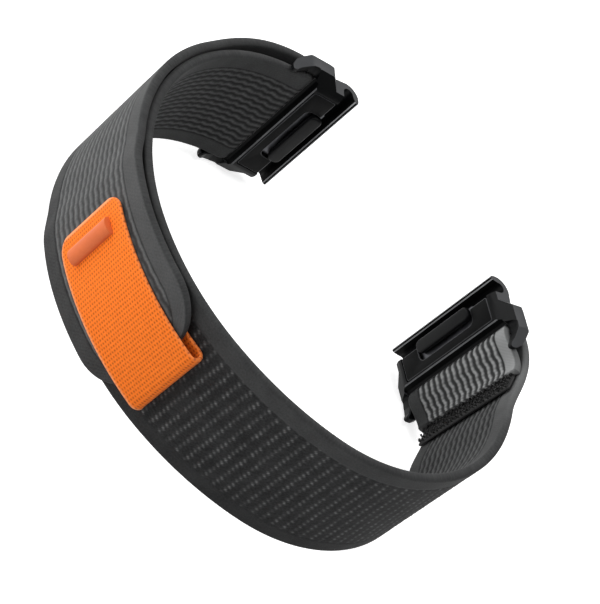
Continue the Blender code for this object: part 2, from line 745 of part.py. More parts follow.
def release_button(side, at, surface):
    """The pill that a thumb pushes away from the watch."""
    front = channel_rear() + BUTTON_OVERHANG
    half = BUTTON_LENGTH / 2
    corners = [(front - BUTTON_WIDTH, -half), (front - BUTTON_WIDTH, half), (front, half), (front, -half)]
    outline = rounded(corners, BUTTON_WIDTH / 2)
    levels = (-BODY_FACE + COVER_THICKNESS, -BODY_FACE - BUTTON_PROUD / 2, -BODY_FACE - BUTTON_PROUD)
    middle = Vector((front - BUTTON_WIDTH / 2, 0.0))
    points = []
    for level, y in enumerate(levels):
        inset = BUTTON_PROUD if level == 2 else 0.0
        for x, z in outline:
            points.append((x - math.copysign(inset, x - middle.x), y, z - math.copysign(inset, z)))
    count = len(outline)
    faces = [tuple(reversed(range(count))), tuple(range(2 * count, 3 * count))]
    for level in range(2):
        low = level * count
        for i in range(count):
            nxt = (i + 1) % count
            faces.append((low + i, low + nxt, low + count + nxt, low + count + i))
    mesh_object(f"{side}_release_button", points, faces, surface, at)


def spring_bar(side, at, steel, spring_steel):
    """A tube with a sprung tip at each end."""
    half = TUBE_LENGTH / 2
    bore = BAR_RADIUS - TUBE_WALL
    mouth = TIP_RADIUS + FIT_GAP / 2
    crimp = half - TUBE_CRIMP_LENGTH
    profile = [
        (BAR_RADIUS, -half),
        (BAR_RADIUS, half),
        (mouth, half),
        (mouth, crimp),
        (bore, crimp),
        (bore, -crimp),
        (mouth, -crimp),
        (mouth, -half),
    ]
    turned(f"{side}_spring_bar_tube", profile, steel, at)
    shoulder = crimp - TIP_HEAD_PLAY
    back = shoulder - TIP_HEAD_LENGTH
    end = BAND_WIDTH / 2 + EAR_INNER_GAP + TIP_INTO_EAR
    local_up = 1 if (at.matrix_world.to_3x3() @ Vector((0.0, 0.0, 1.0))).z > 0 else -1
    for place, sign in (("upper", local_up), ("lower", -local_up)):
        profile = [
            (0, sign * back),
            (TIP_HEAD_RADIUS, sign * back),
            (TIP_HEAD_RADIUS, sign * shoulder),
            (TIP_RADIUS, sign * shoulder),
            (TIP_RADIUS, sign * (end - TIP_RADIUS / 2)),
            (TIP_RADIUS / 2, sign * end),
            (0, sign * end),
        ]
        if sign < 0:
            profile.reverse()
        turned(f"{side}_bar_tip_{place}", profile, steel, at, SMALL_ROUND_STEPS)
    reach = back - FIT_GAP
    inner = TIP_HEAD_RADIUS - BAR_SPRING_WALL
    profile = [(TIP_HEAD_RADIUS, -reach), (TIP_HEAD_RADIUS, reach), (inner, reach), (inner, -reach)]
    turned(f"{side}_bar_spring", profile, spring_steel, at, SMALL_ROUND_STEPS)


def connector(side, black, dark_steel, steel, spring_steel):
    at = empty(f"{side.name}_bar_axis", side.bar_frame())
    bpy.context.view_layer.update()
    frame(side.name, at, black)
    inner_cover(side.name, at, black)
    latch_plate(side.name, at, dark_steel)
    latch_springs(side.name, at, spring_steel)
    release_button(side.name, at, black)
    spring_bar(side.name, at, steel, spring_steel)


def hang_flap(pieces):
    """Puts the flap's pieces on an empty that stands on the line the flap peels at."""
    outside = LEFT.at(FLAP_SPLIT, flap_lift(FLAP_SPLIT) + BAND_THICKNESS)
    hinge = empty("flap_hinge", Matrix.Translation(outside))
    bpy.context.view_layer.update()
    for piece in pieces:
        piece.parent = hinge
        piece.matrix_parent_inverse = hinge.matrix_world.inverted()


def set_down():
    """Moves everything so that the origin is at the bottom centre of the strap's bounds."""
    view = bpy.context.evaluated_depsgraph_get()
    corners = []
    for made in bpy.data.objects:
        if made.type == "MESH" and not made.hide_render:
            seen = made.evaluated_get(view)
            corners += [seen.matrix_world @ corner.co for corner in seen.data.vertices]
    low = Vector([min(corner[i] for corner in corners) for i in range(3)])
    high = Vector([max(corner[i] for corner in corners) for i in range(3)])
    middle = (low + high) / 2
    for made in bpy.data.objects:
        if made.parent is None:
            made.matrix_world = Matrix.Translation((-middle.x, -middle.y, -low.z)) @ made.matrix_world
    bpy.context.view_layer.update()


def main():
    clear_scene()
    weave = material("grey_nylon", (0.10, 0.10, 0.105), 0.9)
    hooks = material("black_hook_tape", (0.02, 0.02, 0.022), 0.8)
    webbing = material("orange_webbing", (0.85, 0.21, 0.03), 0.85)
    grip = material("orange_grip", (0.72, 0.16, 0.05), 0.45)
    black = material("black_metal", (0.012, 0.012, 0.014), 0.4, 0.6)
    dark_steel = material("dark_steel", (0.10, 0.10, 0.11), 0.4, 1.0)
    steel = material("bar_steel", (0.55, 0.55, 0.57), 0.3, 1.0)
    spring_steel = material("spring_steel", (0.45, 0.45, 0.47), 0.35, 1.0)
    band_main(weave)
    end_hook_strip(hooks)
    hang_flap([flap_tip(weave), flap_hook_patch(hooks), pull_tab(webbing), tab_bead(grip)])
    for side in (LEFT, RIGHT):
        connector(side, black, dark_steel, steel, spring_steel)
    set_down()


main()
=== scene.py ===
"""Looks of a nylon watch strap: woven band, orange pull tab and two black hook connectors.

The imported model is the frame. Everything is in metres, +Z up, and the strap stands on its lower edge.
"""

from __future__ import annotations

import json
import logging
import math
from dataclasses import dataclass, field
from enum import Enum
from typing import Callable, Sequence

import bpy
import numpy as np
from mathutils import Matrix, Vector

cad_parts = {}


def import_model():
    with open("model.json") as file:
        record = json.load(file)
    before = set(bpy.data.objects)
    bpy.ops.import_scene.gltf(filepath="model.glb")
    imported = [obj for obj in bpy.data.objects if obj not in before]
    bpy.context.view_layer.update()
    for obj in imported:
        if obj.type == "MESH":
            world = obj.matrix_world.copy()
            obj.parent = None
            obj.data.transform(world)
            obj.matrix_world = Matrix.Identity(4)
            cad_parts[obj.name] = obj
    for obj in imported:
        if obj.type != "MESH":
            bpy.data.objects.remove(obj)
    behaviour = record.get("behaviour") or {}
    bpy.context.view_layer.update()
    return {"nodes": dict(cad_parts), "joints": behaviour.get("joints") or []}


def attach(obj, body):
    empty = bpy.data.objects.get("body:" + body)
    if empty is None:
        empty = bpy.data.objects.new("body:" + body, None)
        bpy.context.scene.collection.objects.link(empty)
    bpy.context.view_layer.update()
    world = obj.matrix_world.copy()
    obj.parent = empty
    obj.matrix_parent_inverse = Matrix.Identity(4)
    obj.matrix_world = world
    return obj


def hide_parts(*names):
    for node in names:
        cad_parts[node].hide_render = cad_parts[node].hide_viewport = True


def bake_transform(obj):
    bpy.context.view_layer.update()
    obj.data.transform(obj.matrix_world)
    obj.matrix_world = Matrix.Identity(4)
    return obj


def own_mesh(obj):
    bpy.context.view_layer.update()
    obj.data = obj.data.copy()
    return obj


LOG = logging.getLogger("strap")
MM = 0.001
LEFT_ARCS = ((0.0360, 29.5), (0.0310, 79.0), (0.0240, 35.0))  # radius in metres and turn in degrees
RIGHT_ARCS = ((0.0450, 24.0), (0.0272, 80.5), (0.0280, 35.5))


def linear(code: str) -> tuple[float, float, float, float]:
    """Turns a colour from sRGB to linear.

    Args:
        code: The colour as "#RRGGBB".

    Returns:
        Linear red, green and blue, and an alpha of 1.
    """
    parts = [int(code[i : i + 2], 16) / 255 for i in (1, 3, 5)]
    low = [c / 12.92 if c <= 0.04045 else ((c + 0.055) / 1.055) ** 2.4 for c in parts]
    return (low[0], low[1], low[2], 1.0)


def node(
    tree: bpy.types.NodeTree, kind: str, settings: dict | None = None, **links: bpy.types.NodeSocket
) -> bpy.types.Node:
    """Adds a shader node.

    Args:
        tree: The material's node tree.
        kind: The node's type name.
        settings: Attributes of the node, and input values by name or index.
        links: Sockets to link, by the input's name with underscores for spaces, or i and its index.

    Returns:
        The new node.
    """
    made = tree.nodes.new(kind)
    for key, value in (settings or {}).items():
        if isinstance(key, str) and hasattr(made, key):
            setattr(made, key, value)
        else:
            made.inputs[key].default_value = value
    for key, socket in links.items():
        name: int | str = int(key[1:]) if key[0] == "i" and key[1:].isdigit() else key.replace("_", " ")
        tree.links.new(socket, made.inputs[name])
    return made


def fresh(
    name: str, values: dict[str, float]
) -> tuple[bpy.types.Material, bpy.types.NodeTree, bpy.types.Node]:
    """Makes a material.

    Args:
        name: The material's name.
        values: Values of the Principled shader's own sockets.

    Returns:
        The material, its node tree and its Principled shader.
    """
    made = bpy.data.materials.new(name)
    made.use_nodes = True
    shader = made.node_tree.nodes["Principled BSDF"]
    for key, value in values.items():
        shader.inputs[key].default_value = value
    return made, made.node_tree, shader


@dataclass(frozen=True)
class WovenNylon:
    """Woven polyamide yarn, soft and matt: pale threads stand out of a dark ground."""

    ground: str
    thread: str
    fleck: str
    yarn_mm: float = 0.30  # real yarn is finer; drawn as coarse as it shows
    patch_mm: float = 4.0
    fuzz: float = 0.34
    patches: float = 0.16
    bump_mm: float = 0.08
    roughness: float = 0.9
    specular: float = 0.2
    sheen: float = 0.04

    def build(self, name: str) -> bpy.types.Material:
        """Makes the material, which reads the UV map in millimetres and the tone and fleck attributes.

        Args:
            name: The material's name.

        Returns:
            The material.
        """
        soft = {"Specular IOR Level": self.specular, "Sheen Weight": self.sheen, "Sheen Roughness": 0.5}
        made, tree, shader = fresh(name, {"Roughness": self.roughness, **soft})
        place = node(tree, "ShaderNodeUVMap", {"uv_map": "cloth"}).outputs["UV"]
        tone = node(tree, "ShaderNodeAttribute", {"attribute_name": "tone"}).outputs["Fac"]
        fleck = node(tree, "ShaderNodeAttribute", {"attribute_name": "fleck"}).outputs["Fac"]
        yarn = {"Scale": 1 / self.yarn_mm, "Detail": 3.0, "Roughness": 0.7}
        fuzz = node(tree, "ShaderNodeTexNoise", yarn, Vector=place).outputs["Fac"]
        cloud = {"Scale": 1 / self.patch_mm, "Detail": 2.0}
        patch = node(tree, "ShaderNodeTexNoise", cloud, Vector=place).outputs["Fac"]
        level = tone
        for noise, share in ((fuzz, self.fuzz), (patch, self.patches)):
            spread = {"operation": "MULTIPLY_ADD", 1: share, 2: -share / 2}
            rise = node(tree, "ShaderNodeMath", spread, i0=noise).outputs[0]
            level = node(tree, "ShaderNodeMath", {"operation": "ADD"}, i0=level, i1=rise).outputs[0]
        colours = {"data_type": "RGBA", 6: linear(self.ground), 7: linear(self.thread)}
        level = node(tree, "ShaderNodeClamp", Value=level).outputs[0]
        body = node(tree, "ShaderNodeMix", colours, i0=level).outputs[2]
        spots = {"data_type": "RGBA", 7: linear(self.fleck)}
        mix = node(tree, "ShaderNodeMix", spots, i0=fleck, i6=body)
        tree.links.new(mix.outputs[2], shader.inputs["Base Color"])
        bump = node(tree, "ShaderNodeBump", {"Strength": 0.5, "Distance": self.bump_mm * MM}, Height=fuzz)
        tree.links.new(bump.outputs["Normal"], shader.inputs["Normal"])
        return made


@dataclass(frozen=True)
class PlainWebbing:
    """Plain-woven polyester webbing: rows of small stitches with dark gaps, matt, pale at its selvedge."""

    face: str
    gap: str
    edge: str
    row_mm: float = 0.58
    stitch_mm: float = 0.48
    fuzz_per_mm: float = 2.2
    depth_mm: float = 0.12
    roughness: float = 0.85
    specular: float = 0.2
    sheen: float = 0.05

    def build(self, name: str) -> bpy.types.Material:
        """Makes the material, which reads the UV map in millimetres and, at the edges, the tone.

        Args:
            name: The material's name.

        Returns:
            The material.
        """
        soft = {"Specular IOR Level": self.specular, "Sheen Weight": self.sheen}
        made, tree, shader = fresh(name, {"Roughness": self.roughness, **soft})
        place = node(tree, "ShaderNodeUVMap", {"uv_map": "cloth"}).outputs["UV"]
        parts = node(tree, "ShaderNodeSeparateXYZ", Vector=place)
        counts = []
        for axis, pitch in (("X", self.row_mm), ("Y", self.stitch_mm)):
            scale = {"operation": "MULTIPLY", 1: 1 / pitch}
            counts.append(node(tree, "ShaderNodeMath", scale, i0=parts.outputs[axis]).outputs[0])
        row = node(tree, "ShaderNodeMath", {"operation": "ROUND"}, i0=counts[0]).outputs[0]
        half_step = {"operation": "MULTIPLY_ADD", 1: 0.5}  # each row's stitches stand between the last one's
        counts[1] = node(tree, "ShaderNodeMath", half_step, i0=row, i2=counts[1]).outputs[0]
        humps = []
        for count in counts:
            turn = node(tree, "ShaderNodeMath", {"operation": "MULTIPLY", 1: math.pi}, i0=count).outputs[0]
            wave = node(tree, "ShaderNodeMath", {"operation": "SINE"}, i0=turn).outputs[0]
            hump = node(tree, "ShaderNodeMath", {"operation": "ABSOLUTE"}, i0=wave).outputs[0]
            humps.append(node(tree, "ShaderNodeMath", {"operation": "SUBTRACT", 0: 1.0}, i1=hump).outputs[0])
        hollow = node(tree, "ShaderNodeMath", {"operation": "MULTIPLY"}, i0=humps[0], i1=humps[1]).outputs[0]
        yarn = {"Scale": self.fuzz_per_mm, "Detail": 3.0}
        fuzz = node(tree, "ShaderNodeTexNoise", yarn, Vector=place).outputs["Fac"]
        half = {"operation": "MULTIPLY_ADD", 1: 0.5}
        edge_highlight = node(tree, "ShaderNodeMath", half, i0=fuzz, i2=hollow).outputs[0]
        raised = {"From Min": 0.22, "From Max": 0.85, "To Min": 1.0, "To Max": 0.0}
        level = node(tree, "ShaderNodeMapRange", raised, Value=edge_highlight).outputs[0]
        colours = {"data_type": "RGBA", 6: linear(self.gap), 7: linear(self.face)}
        body = node(tree, "ShaderNodeMix", colours, i0=level).outputs[2]
        rim = node(tree, "ShaderNodeAttribute", {"attribute_name": "tone"}).outputs["Fac"]
        mix = node(tree, "ShaderNodeMix", {"data_type": "RGBA", 7: linear(self.edge)}, i0=rim, i6=body)
        tree.links.new(mix.outputs[2], shader.inputs["Base Color"])
        sunk = {"Strength": 0.6, "Distance": self.depth_mm * MM, "invert": True}
        bump = node(tree, "ShaderNodeBump", sunk, Height=hollow)
        tree.links.new(bump.outputs["Normal"], shader.inputs["Normal"])
        return made


@dataclass(frozen=True)
class Moulded:
    """A moulded or coated surface: one colour with a fine grain and slight unevenness."""

    colour: str
    shade: str
    grain_mm: float
    roughness: float
    metallic: float = 0.0
    bump_mm: float = 0.01
    specular: float = 0.5
    cloud_mm: float = 4.0
    uneven: float = 0.06

    def build(self, name: str) -> bpy.types.Material:
        """Makes the material, on Object coordinates.

        Args:
            name: The material's name.

        Returns:
            The material.
        """
        gloss = {"Metallic": self.metallic} if self.metallic else {"Specular IOR Level": self.specular}
        made, tree, shader = fresh(name, gloss)
        place = node(tree, "ShaderNodeTexCoord").outputs["Object"]
        noises = []
        for size, detail in ((self.grain_mm, 3.0), (self.cloud_mm, 2.0)):
            scale = {"Scale": 1 / (size * MM), "Detail": detail}
            noises.append(node(tree, "ShaderNodeTexNoise", scale, Vector=place).outputs["Fac"])
        grain, cloud = noises
        both = node(tree, "ShaderNodeMath", {"operation": "MULTIPLY_ADD", 1: 0.4}, i0=grain, i2=cloud)
        share = node(tree, "ShaderNodeMapRange", {"From Min": 0.45, "From Max": 0.95}, Value=both.outputs[0])
        colours = {"data_type": "RGBA", 6: linear(self.shade), 7: linear(self.colour)}
        body = node(tree, "ShaderNodeMix", colours, i0=share.outputs[0])
        tree.links.new(body.outputs[2], shader.inputs["Base Color"])
        low, high = self.roughness - self.uneven, self.roughness + self.uneven
        spread = {"From Min": 0.3, "From Max": 0.7, "To Min": low, "To Max": high}
        rough = node(tree, "ShaderNodeMapRange", spread, Value=cloud)
        tree.links.new(rough.outputs[0], shader.inputs["Roughness"])
        bump = node(tree, "ShaderNodeBump", {"Strength": 0.35, "Distance": self.bump_mm * MM}, Height=grain)
        tree.links.new(bump.outputs["Normal"], shader.inputs["Normal"])
        return made


class Finish(Enum):
    """Every finish on the strap."""

    # Nylon yarn, woven: matt, with fuzz that scatters the light and pale worn threads.
    WOVEN_NYLON = WovenNylon("#161617", "#676868", "#9C9D9D")
    # Polyester yarn, plain woven and dyed: even colour with dark pinholes between the stitches.
    POLYESTER_WEBBING = PlainWebbing("#F57A20", "#B34C08", "#F4B78A")
    # Soft rubber, moulded on the webbing: a dull orange with a broad, weak gloss.
    MOULDED_RUBBER = Moulded("#D66C37", "#C96232", 0.5, 0.55, specular=0.3)
    # Nylon hooks, moulded on tape: small dark glints.
    MOULDED_NYLON = Moulded("#1E1E1E", "#0A0A0A", 0.3, 0.6, specular=0.3)
    # Black coated metal: satin black with a very fine grain. The darker plate finish is also painted shade in
    # the housing's recesses; the paler copies are painted light on its end faces and painted highlights on
    # its edges, the lip's chamfers and the plate's edges.
    COATED_METAL = Moulded("#0D0E0F", "#08090A", 0.18, 0.45, bump_mm=0.006, specular=0.12)
    COATED_PLATE = Moulded("#070808", "#040405", 0.18, 0.5, bump_mm=0.006, specular=0.07)
    COATED_CUT_END = Moulded("#3A3B3D", "#2E2F31", 0.18, 0.45, bump_mm=0.006, specular=0.2)
    COATED_WORN_EDGE = Moulded("#727375", "#4C4D4F", 0.18, 0.4, bump_mm=0.006, specular=0.3)
    COATED_LIP_EDGE = Moulded("#B4B5B7", "#97989A", 0.18, 0.4, bump_mm=0.006, specular=0.3)
    COATED_PLATE_EDGE = Moulded("#47484A", "#2C2D2F", 0.18, 0.4, bump_mm=0.006, specular=0.2)
    # Steel, stamped and darkened: grey with a dull metal gloss.
    STAMPED_STEEL = Moulded("#5A5B5E", "#4A4B4E", 0.2, 0.35, 1.0)
    # Steel, turned and drawn to wire: bright metal.
    BRIGHT_STEEL = Moulded("#B9BABD", "#A6A7AA", 0.2, 0.3, 1.0)

    def material(self) -> bpy.types.Material:
        """The finish's material, made once."""
        name = "finish_" + self.name.lower()
        return bpy.data.materials.get(name) or self.value.build(name)


def ease(share: float) -> float:
    """0 before the start, 1 after the end, smooth between."""
    share = min(max(share, 0.0), 1.0)
    return share * share * (3 - 2 * share)


@dataclass
class Side:
    """One half of the loop: arcs of the band's wrist face from the bottom centre to the spring bar."""

    name: str
    sign: float
    arcs: tuple[tuple[float, float], ...]
    shift: tuple[float, float] = (0.0, 0.0)

    @property
    def length(self) -> float:
        """Length of the wrist face from the bottom centre to beside the bar."""
        return sum(radius * math.radians(turn) for radius, turn in self.arcs)

    def pose(self, distance: float) -> tuple[float, float, float]:
        """Follows the arcs, unmirrored.

        Args:
            distance: How far along the wrist face from the bottom centre.

        Returns:
            Place across, place towards the watch, and heading.
        """
        x = y = heading = 0.0
        left = distance
        for i, (radius, turn) in enumerate(self.arcs):
            last = i == len(self.arcs) - 1
            part = left if last else min(left, radius * math.radians(turn))
            x += radius * (math.sin(heading + part / radius) - math.sin(heading))
            y += radius * (math.cos(heading) - math.cos(heading + part / radius))
            heading += part / radius
            left -= part
            if left <= 0:
                break
        return x, y, heading

    def at(self, distance: float, offset: float) -> np.ndarray:
        """Finds a point by the wrist face.

        Args:
            distance: How far along the wrist face from the bottom centre.
            offset: How far outward from it.

        Returns:
            The point, seen from above.
        """
        x, y, heading = self.pose(distance)
        x += offset * math.sin(heading)
        y -= offset * math.cos(heading)
        return np.array((self.sign * x + self.shift[0], y + self.shift[1]))

    def directions(self, distance: float) -> tuple[np.ndarray, np.ndarray]:
        """Finds the path's directions.

        Args:
            distance: How far along the wrist face from the bottom centre.

        Returns:
            Forward along the path, and outward from the wrist.
        """
        heading = self.pose(distance)[2]
        forward = np.array((self.sign * math.cos(heading), math.sin(heading)))
        outward = np.array((self.sign * math.sin(heading), -math.cos(heading)))
        return forward, outward


@dataclass
class Layout:
    """The band's layers over the wrist curve, in metres, with the same sizes as the CAD model."""

    width: float = 22.0 * MM
    thickness: float = 1.35 * MM
    gap: float = 0.2 * MM
    flap_shift_top: float = 0.5 * MM
    flap_shift_length: float = 30.0 * MM
    fold_radius: float = 1.1 * MM
    flap_ease: float = 18.0 * MM
    right_ease: float = 14.0 * MM
    right_bar_lift: float = 1.1 * MM
    end_length: float = 5.1 * MM
    end_skew: float = 2.0 * MM
    end_settle: float = 6.0 * MM
    end_strip: float = 3.1 * MM
    end_strip_inset: float = 0.7 * MM
    flap_split: float = 33.0 * MM
    flap_tip: float = 4.6 * MM
    flap_tip_round: float = 6.4 * MM
    flap_tip_flat_share: float = 0.42
    flap_rise: float = 5.5 * MM
    patch_thickness: float = 0.4 * MM
    patch_width: float = 18.0 * MM
    patch_length: float = 14.0 * MM
    patch_from_tip: float = 5.0 * MM
    tab_width: float = 13.5 * MM
    tab_thickness: float = 0.55 * MM
    tab_length: float = 22.2 * MM
    tab_fold: float = 2.4 * MM
    tab_corner: float = 2.0 * MM
    tab_under: float = 6.0 * MM
    tab_top_shift: float = 0.9 * MM
    bead_from_top: float = 3.3 * MM
    bead_length: float = 8.6 * MM
    bead_width: float = 2.6 * MM
    bead_height: float = 0.9 * MM
    fold_steps: int = 24
    left: Side = field(default_factory=lambda: Side("left", -1.0, LEFT_ARCS))
    right: Side = field(default_factory=lambda: Side("right", 1.0, RIGHT_ARCS))

    def settle(self, joints: Sequence[dict]) -> None:
        """Moves the paths so that their bars stand on the frame's hinges.

        Args:
            joints: The frame's joints, two of which turn the connectors about their bars.
        """
        places = {joint["name"]: joint.get("pos_m") for joint in joints}
        self.middle = places["left_connector_turn"][2]
        for side in (self.left, self.right):
            here = self.bar_centre(side)
            there = places[f"{side.name}_connector_turn"]
            side.shift = (there[0] - here[0], there[1] - here[1])

    def bar_centre(self, side: Side) -> np.ndarray:
        """Where a side's spring bar stands, seen from above."""
        return side.at(side.length, self.fold_radius + self.thickness + self.bar_lift(side))

    def bar_frame(self, side: Side) -> Matrix:
        """Finds a connector's frame.

        Args:
            side: The connector's side.

        Returns:
            Its frame: origin on the bar, X forward to the watch, Y outward from the wrist.
        """
        forward, outward = side.directions(side.length)
        origin = self.bar_centre(side)
        x = Vector((forward[0], forward[1], 0.0))
        y = Vector((outward[0], outward[1], 0.0))
        turn = Matrix((x, y, x.cross(y))).transposed().to_4x4()
        turn.translation = (origin[0], origin[1], self.middle)
        return turn

    def bar_lift(self, side: Side) -> float:
        """How far the cloth leans outward at a side's bar."""
        return self.right_bar_lift if side is self.right else 0.0

    @property
    def flap_lift_by_patch(self) -> float:
        """Lift of the flap where the patch lies under it."""
        return self.patch_thickness + 2 * self.gap

    def flap_lift(self, along: float) -> float:
        """Finds how high the flap lies.

        Args:
            along: How far along the wrist face from the bottom centre.

        Returns:
            Height of the flap's inner face over the wrist curve.
        """
        back = self.left.length - along
        at_bar = (2 * self.fold_radius - self.gap) * (1 - ease(back / self.flap_ease))
        at_patch = (self.flap_lift_by_patch - self.gap) * ease((self.flap_split - along) / self.flap_rise)
        return self.thickness + self.gap + at_bar + at_patch

    def flap_shift(self, along: float) -> float:
        """How far the flap lies off the band's middle, towards the upper edge."""
        return self.flap_shift_top * ease((self.left.length - along) / self.flap_shift_length)

    def tab_shift(self, along: float) -> float:
        """How far the tab's upper layer lies off the band's middle."""
        return self.tab_top_shift * (along - self.tab_fold) / self.tab_length

    def right_lift(self, back: float) -> float:
        """Height of the main layer behind the right bar."""
        at_bar = self.right_bar_lift + self.thickness + 2 * self.fold_radius
        return at_bar * (1 - ease(back / self.right_ease))

    def end_lift(self, back: float) -> float:
        """Height of the folded end behind the right bar."""
        settled = self.right_lift(back) - self.gap - self.thickness
        return self.right_bar_lift + (settled - self.right_bar_lift) * ease(back / self.end_settle)

    def tab_offsets(self) -> tuple[float, float]:
        """Finds how high the tab lies over the wrist curve.

        Returns:
            Height of the middle of its upper layer, and of its lower layer.
        """
        under = self.thickness + self.gap + self.tab_thickness / 2
        over = 2 * self.thickness + self.flap_lift_by_patch + self.gap + self.tab_thickness / 2
        return over, under

    @property
    def fold_turns(self) -> list[float]:
        """Degrees round a fold: -90 is the wrist side, 0 the front, 90 the outside."""
        return [-90 + 180 * i / self.fold_steps for i in range(1, self.fold_steps)]

    def round_bar(self, side: Side) -> list[np.ndarray]:
        """Finds the middle of the band round a bar.

        Args:
            side: The bar's side.

        Returns:
            Points from the wrist side over the front to the outside.
        """
        forward, outward = side.directions(side.length)
        centre = self.bar_centre(side)
        radius = self.fold_radius + self.thickness / 2
        turns = [math.radians(turn) for turn in self.fold_turns]
        return [centre + radius * (math.cos(a) * forward + math.sin(a) * outward) for a in turns]


def spaced(start: float, end: float, spacing: float) -> list[float]:
    """Even steps from start to end, no wider than spacing."""
    count = max(1, math.ceil(abs(end - start) / spacing))
    return [start + (end - start) * i / count for i in range(count + 1)]


def follow(line: np.ndarray) -> tuple[np.ndarray, np.ndarray, np.ndarray]:
    """Measures a line of points, seen from above.

    Args:
        line: The points, one in each row.

    Returns:
        Each point's direction ahead, its direction to the right, and its distance from the start.
    """
    step = np.gradient(line, axis=0)
    ahead = step / np.linalg.norm(step, axis=1)[:, None]
    lengths = np.concatenate(([0.0], np.cumsum(np.linalg.norm(np.diff(line, axis=0), axis=1))))
    return ahead, np.stack((ahead[:, 1], -ahead[:, 0]), axis=1), lengths


@dataclass
class Strip:
    """A strip of cloth: its middle line, its half widths, and how each face is woven.

    A weave takes millimetres along and across and gives relief in millimetres, tone and fleck.
    The lists hold one value for each point of the middle line.
    """

    name: str
    middle: list[np.ndarray]
    halves: list[float]
    thickness: float
    edge_round: float
    height: float
    skews: list[float] | None = None
    shifts: list[float] | None = None
    # painted shade: a share of light for each point, which darkens tone and fleck
    shades: list[float] | None = None
    edge_tones: list[float] | None = None
    across_inner: int = 41
    across_outer: int = 41
    weave_inner: Callable | None = None
    weave_outer: Callable | None = None
    edge_steps: int = 5
    edge_tone: float = 0.22

    def section(self) -> tuple[np.ndarray, np.ndarray, np.ndarray]:
        """Goes round the strip's section.

        Returns:
            At each point, its share of the half width, its place through the thickness, and
            1 for the outer face, -1 for the inner one or 0 for an edge.
        """
        spans: list[tuple[float, float, float]] = []
        for i in range(self.across_outer):
            spans.append((-1 + 2 * i / (self.across_outer - 1), 1.0, 1.0))
        for i in range(1, self.edge_steps):
            spans.append((1.0, math.cos(math.pi * i / self.edge_steps), 0.0))
        for i in range(self.across_inner):
            spans.append((1 - 2 * i / (self.across_inner - 1), -1.0, -1.0))
        for i in range(1, self.edge_steps):
            spans.append((-1.0, -math.cos(math.pi * i / self.edge_steps), 0.0))
        whole = np.array(spans)
        return whole[:, 0], whole[:, 1], whole[:, 2]

    def column(self, values: list[float] | None, usual: float) -> np.ndarray:
        """One value for each row of the strip, from a list or all the same."""
        return np.array(values or [usual] * len(self.middle))[:, None]

    def build(self, finish: bpy.types.Material) -> bpy.types.Object:
        """Wraps a grid round the strip's section, along its middle line.

        Args:
            finish: The cloth's material.

        Returns:
            The closed strip, with its UV map in millimetres and its tone and fleck attributes.
        """
        centre = np.array(self.middle)
        tangent, normal, lengths = follow(centre)
        share, through, face = self.section()
        half = np.array(self.halves)[:, None]
        flat = half - self.edge_round
        edge = face == 0.0
        bulge = np.where(edge, np.sqrt(np.maximum(0.0, 1 - through**2)), 0.0)
        across = share[None, :] * flat + np.sign(share)[None, :] * bulge[None, :] * self.edge_round
        depth = through[None, :] * self.thickness / 2 * np.ones_like(across)
        along_mm = (lengths[:, None] / MM) * np.ones_like(across)
        across_mm = across / MM
        relief = np.zeros_like(across)
        tone = self.column(self.edge_tones, self.edge_tone) * np.ones_like(across)
        fleck = np.zeros_like(across)
        for code, weave in ((1.0, self.weave_outer), (-1.0, self.weave_inner)):
            if weave is None:
                continue
            pick = face == code
            rise, shade, spots = weave(along_mm[:, pick], across_mm[:, pick], half / MM)
            relief[:, pick] = rise * MM
            tone[:, pick] = shade
            fleck[:, pick] = spots
        # painted shade: darkens tone and fleck where the shares are below 1
        tone *= self.column(self.shades, 1.0)
        fleck *= self.column(self.shades, 1.0)
        depth += np.sign(through)[None, :] * relief
        ahead = self.column(self.skews, 0.0) * across / half
        x = centre[:, 0:1] + normal[:, 0:1] * depth + tangent[:, 0:1] * ahead
        y = centre[:, 1:2] + normal[:, 1:2] * depth + tangent[:, 1:2] * ahead
        z = self.height + across + self.column(self.shifts, 0.0)
        rows, columns = across.shape
        made = wrapped_grid(self.name, rows, columns)
        points = np.stack((x, y, z), axis=2).reshape(-1, 3)
        lay(made, points, {"tone": tone.reshape(-1), "fleck": fleck.reshape(-1)}, along_mm, across_mm)
        made.data.materials.append(finish)
        return made


def only(target: bpy.types.Object) -> None:
    """Makes one object the selected and active one.

    Args:
        target: The object.
    """
    bpy.ops.object.select_all(action="DESELECT")
    target.select_set(True)
    bpy.context.view_layer.objects.active = target


def wrapped_grid(name: str, rows: int, columns: int) -> bpy.types.Object:
    """A grid whose long sides meet, closed at both ends.

    Args:
        name: The piece's name.
        rows: Points along it.
        columns: Points round it.

    Returns:
        The object, with points in rows and quads between them; its shape is laid on later.
    """
    bpy.ops.object.select_all(action="DESELECT")
    bpy.ops.mesh.primitive_grid_add(x_subdivisions=1, y_subdivisions=1, size=1.0)
    made = bpy.context.object
    made.name = name
    made.data.name = name
    index = np.arange(rows * columns).reshape(rows, columns)
    turned = np.roll(index, -1, axis=1)
    quads = np.stack((index[:-1], index[1:], turned[1:], turned[:-1]), axis=2).reshape(-1, 4)
    faces = quads.tolist() + [index[0].tolist(), index[-1][::-1].tolist()]
    made.data.clear_geometry()
    made.data.from_pydata(np.zeros((rows * columns, 3)).tolist(), [], faces)
    return made


def outward_and_smooth(made: bpy.types.Object) -> None:
    """Turns a closed mesh's faces outward and shades it smooth.

    Args:
        made: The mesh's object.
    """
    only(made)
    edit(lambda: bpy.ops.mesh.normals_make_consistent(inside=False))
    bpy.ops.object.shade_smooth()


